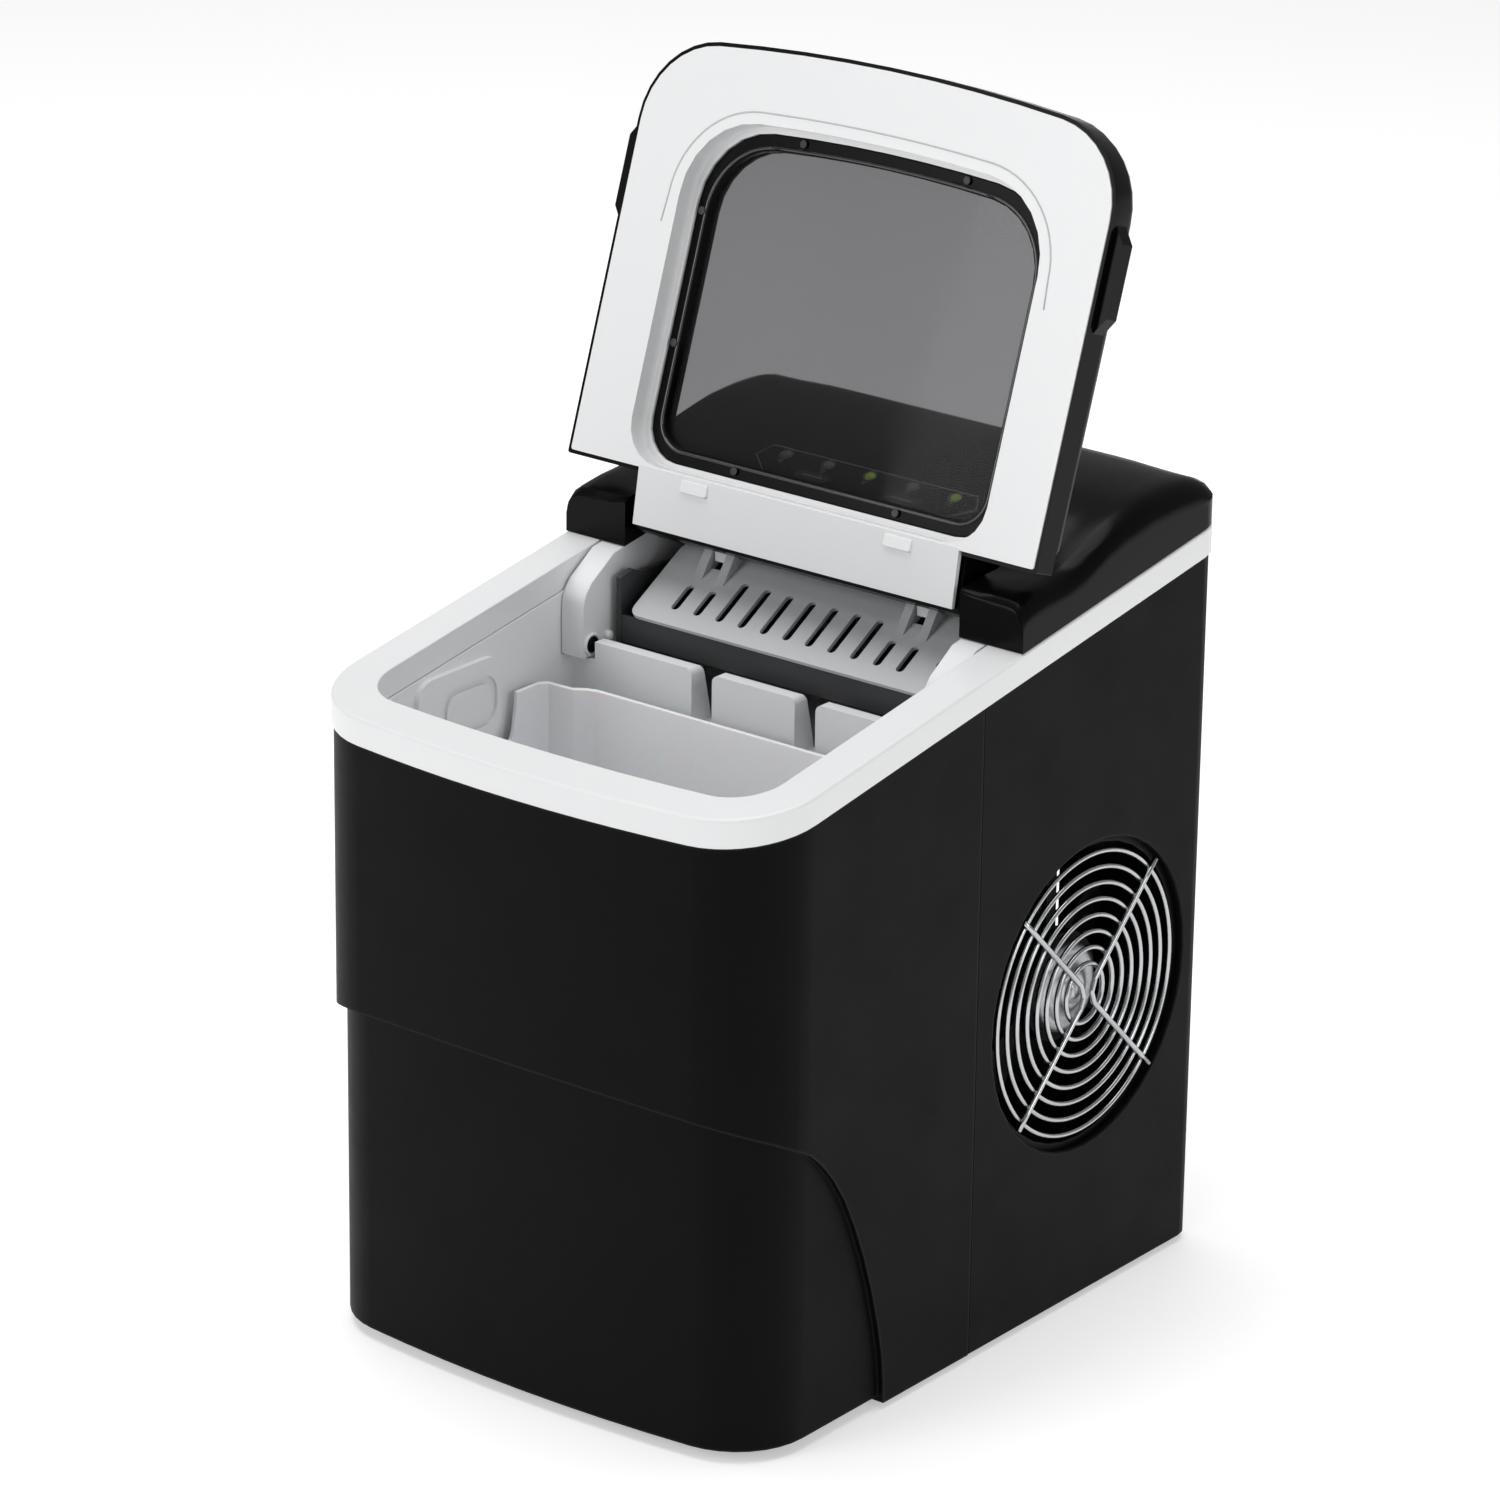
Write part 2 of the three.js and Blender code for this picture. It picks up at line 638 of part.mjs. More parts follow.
function panelButton(side) {
  const x = side * BUTTON_X;
  return prismZ(roundedBox(x - 9, x + 9, -8, -2, 2.9, 2), -4, 1.7);
}

function controlBoard() {
  return box(-50, 50, -9, 9, -7.5, -6);
}

// ---------- lid, in its own frame: X across, Y towards the outer skin, Z from hinge to far edge ----
function lidOutline(grow, lowCorner = 1.2) {
  return bowedPlan(
    LID_HALF + grow, -LID_LENGTH - grow, grow, LID_CORNER + grow, LID_BOW, lowCorner, 8,
  ).map((p) => [p[0], -p[1]]);
}

function windowOutline(half, low, high, lowCorner, highCorner) {
  const points = [];
  const bow = 5;
  const radius = (half * half + bow * bow) / (2 * bow);
  const centre = high - radius;
  const cx = half - highCorner;
  const cz = centre + Math.sqrt((radius - highCorner) ** 2 - cx * cx);
  const join = Math.atan2(cz - centre, cx);
  arc(points, half - lowCorner, low + lowCorner, lowCorner, -Math.PI / 2, 0, 5);
  arc(points, cx, cz, highCorner, 0, join, 6);
  arc(points, 0, centre, radius, join, Math.PI - join, 6);
  arc(points, -cx, cz, highCorner, Math.PI - join, Math.PI, 6);
  arc(points, lowCorner - half, low + lowCorner, lowCorner, Math.PI, 1.5 * Math.PI, 5);
  return points;
}

const RECESS = windowOutline(94, 1.8, 155, 18, 36);
const FRAME_OUTER = windowOutline(91, 4.6, 152, 17, 35);
const FRAME_SEAT = windowOutline(91.4, 4.2, 152.4, 17, 35);
const FRAME_INNER = windowOutline(85.2, 10.7, 145.4, 13, 31);
const GLASS_OUTER = windowOutline(88.4, 7.4, 148.8, 14, 32);
const GLASS_ROOM = windowOutline(88.4 + GAP, 7.4 - GAP, 148.8 + GAP, 14 + GAP, 32 + GAP);
const SCREWS = [
  [-42.8, 148.6], [42.8, 148.6], [-88, 111.8], [88, 111.8],
  [-88, 54.3], [88, 54.3], [-42.8, 7.5], [42.8, 7.5],
];

function lidInner() {
  const panel = prismY(lidOutline(0), 0, 2.4);
  const wallOut = prismY(windowOutline(95.2, 0.6, 156.2, 19, 37), 0, 12);
  const tongue = prismX([[-0.2, 1], [3.9, -24.6], [5.9, -24.3], [2.2, 1]],
    -TONGUE_HALF + 1.6, TONGUE_HALF - 1.6);
  const whole = panel.add(wallOut).add(tongue);
  return whole.subtract(prismY(RECESS, -5, 10)).subtract(prismY(FRAME_SEAT, -5, 30));
}

function lidSkinForm() {
  const dome = new THREE.ExtrudeGeometry(shapeOf(lidOutline(SKIN_PROUD, 11)), {
    depth: 4.3, bevelEnabled: true, bevelThickness: 7, bevelSize: 9,
    bevelOffset: -9, bevelSegments: 3,
  });
  // the face towards +Y keeps its bevel, the other end is squared off
  const domed = solid(dome.rotateX(Math.PI / 2).translate(0, 12, 0));
  const square = prismY(lidOutline(SKIN_PROUD), 0.5, 12);
  const tongueRoom = box(GAP - TONGUE_HALF, TONGUE_HALF - GAP, -5, 3.2, -5, 1);
  return domed.intersect(box(-FAR, FAR, 11, 40, -FAR, FAR)).add(square.subtract(tongueRoom));
}

function lidSkin() {
  const inside = prismY(lidOutline(-1.6), -5, 16.6).add(prismY(lidOutline(GAP), -5, 2.7));
  let skin = lidSkinForm().subtract(inside.subtract(prismY(windowOutline(97, 0.2, 158, 18, 38), 14.9, 30)));
  const bar = [];
  arc(bar, AXIS_LOCAL_Y, AXIS_LOCAL_Z, 11.5, Math.PI * 1.2, Math.PI * 2.35, 8);
  const knuckle = prismX([[3.4, 3.2], [6.9, -24.4], ...bar.slice(1), [21, 3.2]], -TONGUE_HALF, TONGUE_HALF);
  const clear = prismY(windowOutline(95.8, 0.1, 157, 19, 38), -5, 12.3);
  skin = skin.add(knuckle).add(gripBumps()).subtract(clear)
    .subtract(prismY(FRAME_INNER, -5, 40))
    .subtract(prismY(GLASS_ROOM, 14, 17.3))
    .subtract(rodX(3.3, AXIS_LOCAL_Y, AXIS_LOCAL_Z, -TONGUE_HALF - 5, -TONGUE_HALF + 12, 16))
    .subtract(rodX(3.3, AXIS_LOCAL_Y, AXIS_LOCAL_Z, TONGUE_HALF - 12, TONGUE_HALF + 5, 16));
  return skin;
}

// finger grips on both long edges
function gripBumps() {
  const bumps = [];
  for (const side of [-1, 1]) {
    const x = side * (LID_HALF + 1);
    bumps.push(prismY([
      [x, 98], [x + side * 5.5, 106], [x + side * 5.5, 137], [x, 145],
    ], 3.4, 11));
  }
  return union(bumps);
}

function lidWindowFrame() {
  let frame = prismY(FRAME_OUTER, 11, 14.6).subtract(prismY(FRAME_INNER, 10, 20));
  for (const [x, z] of SCREWS) {
    frame = frame.subtract(rodY(1.1, x, z, 8, 20, 8));
  }
  return frame;
}

function lidGlass() {
  return prismY(GLASS_OUTER, 14.9, 17);
}

function frameScrew(x, z) {
  return rodY(1.9, x, z, 9.7, 10.7, 12).add(rodY(0.8, x, z, 10.5, 14.2, 8));
}

function hingePin(side) {
  const low = side > 0 ? TONGUE_HALF - 11 : -100.5;
  const high = side > 0 ? 100.5 : 11 - TONGUE_HALF;
  return rodX(3, HINGE_Y, HINGE_Z, low, high, 16);
}

// ---------- ice making ----------
function sideBracket(side) {
  const outline = [
    [-8, 267.5], [-8, 291], [-6.4, 296], [-2.5, 300.6], [14.5, 311.6],
    [40, 330], [89, 330], [89, 267.5],
  ];
  const low = side > 0 ? 90 : -OPENING_HALF + 1.2;
  const high = side > 0 ? OPENING_HALF - 1.2 : -90;
  let cheek = prismX(outline, low, high);
  cheek = cheek.subtract(rodX(3.3, TRAY_AXIS_Y, TRAY_AXIS_Z, low - 1, high + 1, 16));
  cheek = cheek.subtract(rodX(2.3, ROD_Y, ROD_Z, low - 1, high + 1, 12));
  cheek = cheek.subtract(rodX(3.8, -2.5, 273, side > 0 ? 85 : -98, side > 0 ? 98 : -85, 16));
  if (side > 0) cheek = cheek.subtract(box(95, 110, 62, 95, 284, 330));
  return cheek.subtract(aboveRim(RIM_HEIGHT - GAP));
}

function sensorEye(side) {
  const face = side * 90;
  const low = Math.min(face - side * 1.6, face + side * 7);
  const high = Math.max(face - side * 1.6, face + side * 7);
  return rodX(3.4, -2.5, 273, low, high, 16);
}

function pivotRod() {
  return rodX(2, ROD_Y, ROD_Z, -101, 101, 12);
}

function waterTray() {
  const trough = [
    [10.5, 272], [22, 266], [32, 264], [66, 264], [74, 285], [74, 296], [72, 296], [72, 285.6],
    [64.6, 266], [32.4, 266], [23, 267.8], [12.5, 273.4], [12.5, 284], [10.5, 284],
  ];
  const end = [
    [9.8, 271.6], [21.6, 265.4], [32, 263.4], [66.5, 263.4], [74.8, 284.8], [84, 298], [84, 309],
    [72, 309], [66, 300], [24, 300], [18, 303], [9.8, 301],
  ];
  let tray = prismX(trough, -85, 85);
  for (const side of [-1, 1]) {
    const low = side > 0 ? 84 : -86.5;
    tray = tray.add(prismX(end, low, low + 2.5));
    const pin = side > 0 ? [85.5, 97] : [-97, -85.5];
    tray = tray.add(rodX(3, TRAY_AXIS_Y, TRAY_AXIS_Z, pin[0], pin[1], 16));
  }
  return tray;
}

function iceShovel() {
  const slope = Math.atan2(20.8, 36.6);
  let plate = prismZ(roundedBox(-79, 79, 0, SHOVEL_LENGTH, 5), -2, 0);
  for (const x of HANGERS) {
    plate = plate.subtract(box(x - 3.7, x + 3.7, 35, 60, -5, 5));
  }
  for (let i = 0; i < SHOVEL_SLOTS; i += 1) {
    const x = (i - (SHOVEL_SLOTS - 1) / 2) * SHOVEL_PITCH;
    const besideEar = i < 2 || i > SHOVEL_SLOTS - 3;
    const far = besideEar ? 23.5 : 32;
    plate = plate.subtract(prismZ(roundedBox(x - 1.95, x + 1.95, 8.5, far, 1.9, 3), -5, 5));
  }
  const reach = Math.hypot(ROD_Y - SHOVEL_FRONT_Y, ROD_Z - SHOVEL_FRONT_Z);
  const lift = Math.atan2(ROD_Z - SHOVEL_FRONT_Z, ROD_Y - SHOVEL_FRONT_Y) - slope;
  const rodU = reach * Math.cos(lift);
  const rodW = reach * Math.sin(lift);
  const ear = [[34, -2], [rodU, rodW - 4.3], [rodU + 4, rodW], [rodU, rodW + 4.3],
    [rodU - 5, rodW + 2], [27, 0]];
  for (const x of EARS) {
    plate = plate.add(prismX(ear, x - 2.2, x + 2.2)).subtract(rodX(2.35, rodU, rodW, x - 3, x + 3, 12));
  }
  const turn = new THREE.Matrix4().makeRotationX(slope);
  turn.setPosition(0, SHOVEL_FRONT_Y, SHOVEL_FRONT_Z);
  return solid(toGeometry(plate).applyMatrix4(turn));
}

function evaporator() {
  const list = [box(-74, 74, EVAPORATOR_Y - 5, EVAPORATOR_Y + 5, 317, 321)];
  for (let i = 0; i < FINGERS; i += 1) {
    const x = (i - (FINGERS - 1) / 2) * FINGER_PITCH;
    list.push(rodZ(4.2, x, EVAPORATOR_Y, 274, 318, 12));
  }
  list.push(rodX(3.6, EVAPORATOR_Y, 324, -70, 70, 12));
  return union(list);
}

// white bar over the evaporator, with two hangers that hold the shovel's rod
function evaporatorBracket() {
  const y = EVAPORATOR_Y;
  let bar = box(-84, 84, y - 4, y + 4, 329, 331)
    .add(box(-84, -78, y - 5, y + 9, 319, 330)).add(box(78, 84, y - 5, y + 9, 319, 330));
  const hanger = [
    [40.5, 306.6], [53.6, 306.6], [54.6, 322], [58, 329], [58, 331], [51.4, 331], [50.5, 327],
    [50.5, 315.6], [42, 315.6], [40.5, 314],
  ];
  for (const x of HANGERS) {
    bar = bar.add(prismX(hanger, x - 3.2, x + 3.2)).subtract(rodX(2.3, ROD_Y, ROD_Z, x - 5, x + 5, 12));
  }
  return bar;
}

function trayMotor() {
  return box(95.6, 101.6, 66, 90, 290, 314)
    .subtract(rodX(3.4, TRAY_AXIS_Y, TRAY_AXIS_Z, 90, 110, 16));
}

// ---------- cooling ----------
function fanGuard() {
  const list = [];
  for (let i = 0; i < GUARD_RINGS; i += 1) {
    const radius = GUARD_OUTER - i * GUARD_PITCH;
    const w = GUARD_WIRE;
    const sides = Math.max(12, Math.round(radius * 0.4));
    const profile = [[radius + w, 0], [radius, w], [radius - w, 0], [radius, -w], [radius + w, 0]];
    const ring = new THREE.LatheGeometry(profile.map((p) => new THREE.Vector2(p[0], p[1])), sides);
    list.push(solid(ring.rotateZ(Math.PI / 2).translate(GUARD_X, FAN_Y, FAN_Z)));
  }
  for (const side of [-1, 1]) {
    const reach = 46.5;
    const x = GUARD_X + 1.4;
    list.push(pipe([
      [x, FAN_Y + side * reach, FAN_Z + reach], [x, FAN_Y + side * 5, FAN_Z + 5],
      [x, FAN_Y + side * 5, FAN_Z - 5], [x, FAN_Y + side * reach, FAN_Z - reach],
    ], 1.2, 6, 16));
  }
  return union(list);
}

function fanShroud() {
  const outer = FAN_HOLE + 1.5;
  const inner = FAN_HOLE - 3;
  const ring = rodX(outer, FAN_Y, FAN_Z, 72, 117.4, 36).subtract(rodX(inner, FAN_Y, FAN_Z, 60, 130, 36));
  const struts = [];
  for (let i = 0; i < 3; i += 1) {
    const angle = Math.PI / 2 + (i * 2 * Math.PI) / 3;
    const strut = new THREE.BoxGeometry(3, 47, 7).translate(0, 45, 0).rotateX(angle);
    struts.push(solid(strut.translate(98.5, FAN_Y, FAN_Z)));
  }
  const cup = rodX(24.5, FAN_Y, FAN_Z, 97, 106, 24).subtract(rodX(20.3, FAN_Y, FAN_Z, 90, 120, 24));
  return ring.add(union(struts)).add(cup);
}

function fanMotor() {
  return rodX(20, FAN_Y, FAN_Z, 95, 112, 24)
    .add(rodX(9, FAN_Y, FAN_Z, 110, 114, 16))
    .add(rodX(2, FAN_Y, FAN_Z, 84, 96, 12));
}

function fanBlade() {
  const list = [rodX(17, FAN_Y, FAN_Z, 76, 93, 24)];
  const blades = 5;
  for (let i = 0; i < blades; i += 1) {
    const outline = [[-13, 14], [13, 14], [22, 54], [6, 58], [-14, 56]];
    const blade = new THREE.ExtrudeGeometry(shapeOf(outline), { depth: 1.6, bevelEnabled: false });
    blade.translate(0, 0, -0.8);
    blade.applyMatrix4(new THREE.Matrix4().makeRotationY(0.45));
    blade.rotateY(Math.PI / 2);
    blade.rotateX((i / blades) * 2 * Math.PI);
    list.push(solid(blade.translate(84, FAN_Y, FAN_Z)));
  }
  return union(list).subtract(rodX(2.3, FAN_Y, FAN_Z, 60, 120, 12));
}

function condenser() {
  const list = [];
  for (let i = 0; i < CONDENSER_FINS; i += 1) {
    const y = 18 + i * CONDENSER_PITCH;
    list.push(box(34, 62, y, y + 1.6, 84, 204));
  }
  for (let k = 0; k < 4; k += 1) {
    list.push(rodY(4, 48, 97 + k * 31, 12, 136, 6));
  }
  return union(list);
}

function compressor() {
  const profile = [
    [0, 0], [40, 0], [47, 8], [48, 40], [48, 74], [42, 98], [26, 110], [0, 113],
  ].map((p) => new THREE.Vector2(p[0], p[1]));
  const can = solid(new THREE.LatheGeometry(profile, 24).rotateX(Math.PI / 2));
  const placed = can.translate(-52, 84, 22);
  const plate = box(-102, -2, 40, 128, 16, 24);
  return placed.add(plate);
}

function filterDrier() {
  return rodY(9, -6, 210, 60, 130, 16).add(rodY(3, -6, 210, 52, 138, 10));
}

function solenoidValve() {
  return box(-40, -18, 10, 34, 150, 176).add(rodZ(5, -29, 22, 140, 196, 12));
}

function waterPump() {
  return box(60, 96, 96, 136, 14, 52).add(rodZ(7, 78, 116, 50, 62, 16));
}

function controlBox() {
  return box(-110, -74, 132, 154, 186, 226);
}

// copper line from the evaporator down to the compressor
function suctionPipe() {
  return pipe(rounded([
    [-24, 84, 133], [-24, 84, 168], [SUCTION_X, SUCTION_Y, 190],
    [SUCTION_X, SUCTION_Y, 324], [SUCTION_X, 64.6, 324],
  ], 11), SUCTION_RADIUS, 8, 48);
}

// copper line from the compressor to the condenser
function dischargePipe() {
  return pipe(rounded([
    [-52, 112, 133], [-52, 112, 172], [-20, 146, 190], [48, 146, 190], [48, 136.4, 190],
  ], 9), 2.5, 8, 40);
}

function divider() {
  return box(-99, 99, 8, 150, 229, 233)
    .subtract(rodZ(SUCTION_RADIUS + 1.5, SUCTION_X, SUCTION_Y, 220, 240, 12));
}

// ---------- assembly ----------
function addHousing(root) {
  root.add(part('base_tray', baseTray(), BLACK));
  FEET.forEach(([x, y], i) => root.add(part(`foot_${i + 1}`, foot(x, y), RUBBER)));
  root.add(part('front_shell', frontShell(), BLACK));
  root.add(part('rear_shell', rearShell(), BLACK));
  root.add(part('top_frame', topFrame(), WHITE));
  root.add(part('reservoir_liner', reservoirLiner(), LINER_WHITE));
  root.add(part('rear_cover', rearCover(), GLOSS_BLACK));
  root.add(part('cord_gland', cordGland(), RUBBER));
  root.add(part('drain_spout', drainSpout(), WHITE));
  root.add(part('drain_cap', drainCap(), BLACK));
}

function cordGland() {
  return rodY(8, GLAND_X, GLAND_Z, 152, 166, 16)
    .add(rodY(11, GLAND_X, GLAND_Z, 161.8, 164, 20))
    .subtract(rodY(4, GLAND_X, GLAND_Z, 140, 160, 12));
}

function addPanel(root) {
  const items = [
    part('control_panel', controlPanel(), GLOSS_BLACK),
    part('control_board', controlBoard(), BOARD_GREEN),
    part('button_power', panelButton(-1), DARK_GREY),
    part('button_select', panelButton(1), DARK_GREY),
  ];
  for (let i = 0; i < LAMPS; i += 1) {
    items.push(part(`lamp_${i + 1}`, lamp(i), i === 2 || i === 4 ? LAMP_GREEN : LAMP_GREY));
  }
  root.add(onPanel(items));
}

function addLid(root) {
  const lid = new THREE.Group();
  lid.position.set(0, LID_Y, LID_Z);
  lid.rotation.x = -LID_ANGLE;
  lid.add(part('lid_skin', lidSkin(), GLOSS_BLACK));
  lid.add(part('lid_inner', lidInner(), WHITE));
  lid.add(part('lid_window_frame', lidWindowFrame(), GLOSS_BLACK));
  lid.add(part('lid_window', lidGlass(), SMOKED));
  SCREWS.forEach(([x, z], i) => lid.add(part(`frame_screw_${i + 1}`, frameScrew(x, z), STEEL)));
  root.add(lid);
  root.add(part('hinge_pin_left', hingePin(-1), STEEL));
  root.add(part('hinge_pin_right', hingePin(1), STEEL));
}

function addIceMaking(root) {
  root.add(part('ice_basket', iceBasket(), CLEAR_WHITE));
  root.add(part('bracket_left', sideBracket(-1), WHITE));
  root.add(part('bracket_right', sideBracket(1), WHITE));
  root.add(part('ice_sensor_left', sensorEye(-1), GLOSS_BLACK));
  root.add(part('ice_sensor_right', sensorEye(1), GLOSS_BLACK));
  root.add(part('pivot_rod', pivotRod(), STEEL));
  root.add(part('water_tray', waterTray(), DARK_GREY));
  root.add(part('ice_shovel', iceShovel(), LIGHT_GREY));
  root.add(part('evaporator', evaporator(), NICKEL));
  root.add(part('evaporator_bracket', evaporatorBracket(), WHITE));
  root.add(part('tray_motor', trayMotor(), DARK_GREY));
}

function addCooling(root) {
  root.add(part('fan_guard', fanGuard(), CHROME));
  root.add(part('fan_shroud', fanShroud(), BLACK));
  root.add(part('fan_motor', fanMotor(), ALUMINIUM));
  root.add(part('fan_blade', fanBlade(), BLACK));
  root.add(part('condenser', condenser(), ALUMINIUM));
  root.add(part('compressor', compressor(), COMPRESSOR_BLACK));
  root.add(part('filter_drier', filterDrier(), COPPER));
  root.add(part('suction_pipe', suctionPipe(), COPPER));
  root.add(part('discharge_pipe', dischargePipe(), COPPER));
  root.add(part('solenoid_valve', solenoidValve(), DARK_GREY));
  root.add(part('water_pump', waterPump(), BLACK));
  root.add(part('control_box', controlBox(), DARK_GREY));
  root.add(part('divider', divider(), LINER_WHITE));
}

const root = new THREE.Group();
root.name = 'ice_maker';
addHousing(root);
addPanel(root);
addLid(root);
addIceMaking(root);
addCooling(root);

export default root;
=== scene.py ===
"""Countertop ice maker: finer pieces, materials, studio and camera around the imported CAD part."""
import json
import math

import bpy
import bmesh
from mathutils import Matrix, Vector


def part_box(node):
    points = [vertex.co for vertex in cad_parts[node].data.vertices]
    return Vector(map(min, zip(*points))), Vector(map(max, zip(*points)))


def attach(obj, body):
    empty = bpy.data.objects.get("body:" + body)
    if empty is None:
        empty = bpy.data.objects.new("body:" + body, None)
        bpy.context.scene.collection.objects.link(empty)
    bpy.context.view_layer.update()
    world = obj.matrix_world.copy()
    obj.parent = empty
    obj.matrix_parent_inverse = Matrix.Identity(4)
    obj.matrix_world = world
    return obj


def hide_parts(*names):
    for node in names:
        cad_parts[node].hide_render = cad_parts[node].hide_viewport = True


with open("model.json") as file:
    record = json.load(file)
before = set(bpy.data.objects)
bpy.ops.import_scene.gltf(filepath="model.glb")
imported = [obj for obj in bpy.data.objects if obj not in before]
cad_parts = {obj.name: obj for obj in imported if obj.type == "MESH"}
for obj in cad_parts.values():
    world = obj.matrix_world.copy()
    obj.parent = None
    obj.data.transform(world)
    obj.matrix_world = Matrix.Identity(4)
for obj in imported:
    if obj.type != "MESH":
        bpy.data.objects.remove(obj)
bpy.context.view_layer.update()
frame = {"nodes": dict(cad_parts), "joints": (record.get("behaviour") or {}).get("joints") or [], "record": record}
NODES = frame["nodes"]
JOINTS = {joint["name"]: joint for joint in frame["joints"]}
MM = 0.001

# ---------- driving dimensions, in millimetres where not said otherwise ----------
LID_LEAN = math.radians(18.6)  # the open lid leans back past upright
LID_EDGE = Vector((0.0, 22.6, 347.6)) * MM  # lower edge of the lid's inner panel
PANEL_LEAN = math.atan2(5.8, 14.0)  # slope of the control panel
PANEL_MIDDLE = Vector((0.0, 69.5, 346.1)) * MM
PANEL_TOP = 0.72  # printed marks stand on the panel's face
LAMPS = 5
LIT_LAMPS = (2, 4)
LAMP_PITCH = 22.5
LAMP_Y = 5.0  # from the panel's middle, up its slope
KEY_X = 24.0
GUARD_RINGS = 8
GUARD_PITCH = 7.1
GUARD_WIRE = 1.15
CROSS_REACH = 0.757  # the two cross wires end this far out, as a share of the outer ring
BLADES = 5


# ---------- node graphs ----------
class Graph:
    """A material's node tree with short calls for what the looks below need."""

    def __init__(self, name):
        self.material = bpy.data.materials.new(name)
        self.material.use_nodes = True
        self.tree = self.material.node_tree
        self.tree.nodes.clear()
        self.out = self.tree.nodes.new("ShaderNodeOutputMaterial")
        self.coords = self.tree.nodes.new("ShaderNodeTexCoord").outputs["Object"]

    def node(self, kind, **values):
        made = self.tree.nodes.new(kind)
        for key, value in values.items():
            setattr(made, key, value)
        return made

    def link(self, a, b):
        self.tree.links.new(a, b)

    def noise(self, scale, detail=2.0, rough=0.5, stretch=None):
        made = self.node("ShaderNodeTexNoise")
        made.inputs["Scale"].default_value = scale
        made.inputs["Detail"].default_value = detail
        made.inputs["Roughness"].default_value = rough
        source = self.coords
        if stretch:
            mapping = self.node("ShaderNodeMapping")
            mapping.inputs["Scale"].default_value = stretch
            self.link(source, mapping.inputs["Vector"])
            source = mapping.outputs["Vector"]
        self.link(source, made.inputs["Vector"])
        return made.outputs["Fac"]

    def spread(self, source, low, high, start=0.3, end=0.7):
        made = self.node("ShaderNodeMapRange")
        made.inputs["From Min"].default_value = start
        made.inputs["From Max"].default_value = end
        made.inputs["To Min"].default_value = low
        made.inputs["To Max"].default_value = high
        self.link(source, made.inputs["Value"])
        return made.outputs["Result"]

    def mix(self, factor, a, b):
        made = self.node("ShaderNodeMix", data_type="RGBA")
        self.link(factor, made.inputs["Factor"])
        for value, socket in ((a, made.inputs["A"]), (b, made.inputs["B"])):
            if isinstance(value, tuple):
                socket.default_value = (*value, 1.0)
            else:
                self.link(value, socket)
        return made.outputs["Result"]

    def bump(self, height, depth, under=None):
        made = self.node("ShaderNodeBump")
        made.inputs["Strength"].default_value = 1.0
        made.inputs["Distance"].default_value = depth * MM
        self.link(height, made.inputs["Height"])
        if under:
            self.link(under, made.inputs["Normal"])
        return made.outputs["Normal"]

    def edges(self, reach):
        """1 along convex and concave edges within reach, 0 on open faces."""
        bevel = self.node("ShaderNodeBevel", samples=4)
        bevel.inputs["Radius"].default_value = reach * MM
        plain = self.node("ShaderNodeNewGeometry")
        dot = self.node("ShaderNodeVectorMath", operation="DOT_PRODUCT")
        self.link(bevel.outputs["Normal"], dot.inputs[0])
        self.link(plain.outputs["Normal"], dot.inputs[1])
        return self.spread(dot.outputs["Value"], 1.0, 0.0, 0.8, 0.985)

    def principled(self, **values):
        made = self.node("ShaderNodeBsdfPrincipled")
        for key, value in values.items():
            socket = made.inputs[key.replace("_", " ")]
            if isinstance(value, bpy.types.NodeSocket):
                self.link(value, socket)
            elif isinstance(value, tuple) and len(value) == 3 and socket.type == "RGBA":
                socket.default_value = (*value, 1.0)
            else:
                socket.default_value = value
        return made

    def finish(self, shader):
        self.link(shader.outputs[0], self.out.inputs["Surface"])
        return self.material


def tone(colour, factor):
    return tuple(min(1.0, c * factor) for c in colour)


def moulded(name, colour, rough, grain=900.0, depth=0.02, uneven=0.08, smudge=0.06, painted_edge_highlight=None,
             reach=0.7, **more):
    """Injection-moulded plastic: fine mould grain, faint flow and handling marks, and paler edges that are a
    painted highlight.
    """
    g = Graph(name)
    base = g.mix(g.noise(7.0, 3.0), tone(colour, 1 - uneven), tone(colour, 1 + uneven))
    # a paler colour along edges within reach: a painted highlight standing in for the light that the bevels catch
    if painted_edge_highlight:
        base = g.mix(g.spread(g.edges(reach), 0.0, 0.7, 0.0, 1.0), base, painted_edge_highlight)
    gloss = g.spread(g.noise(26.0, 5.0, 0.6), rough - smudge, rough + smudge)
    relief = g.bump(g.noise(grain, 3.0), depth)
    relief = g.bump(g.noise(18.0, 1.0), 0.12, relief)
    return g.finish(g.principled(Base_Color=base, Roughness=gloss, Normal=relief, **more))


def metal(name, colour, rough, grain=300.0, depth=0.01, stretch=None, tarnish=None):
    """Bare or plated metal with drawn or cast grain and a little tarnish."""
    g = Graph(name)
    tarnish = tarnish or tone(colour, 0.6)
    base = g.mix(g.spread(g.noise(45.0, 5.0, 0.65), 0.0, 0.5, 0.45, 0.75), colour, tarnish)
    gloss = g.spread(g.noise(grain, 4.0, 0.6, stretch), rough * 0.75, rough * 1.35)
    relief = g.bump(g.noise(grain, 4.0, 0.6, stretch), depth)
    return g.finish(g.principled(Base_Color=base, Roughness=gloss, Normal=relief, Metallic=1.0))


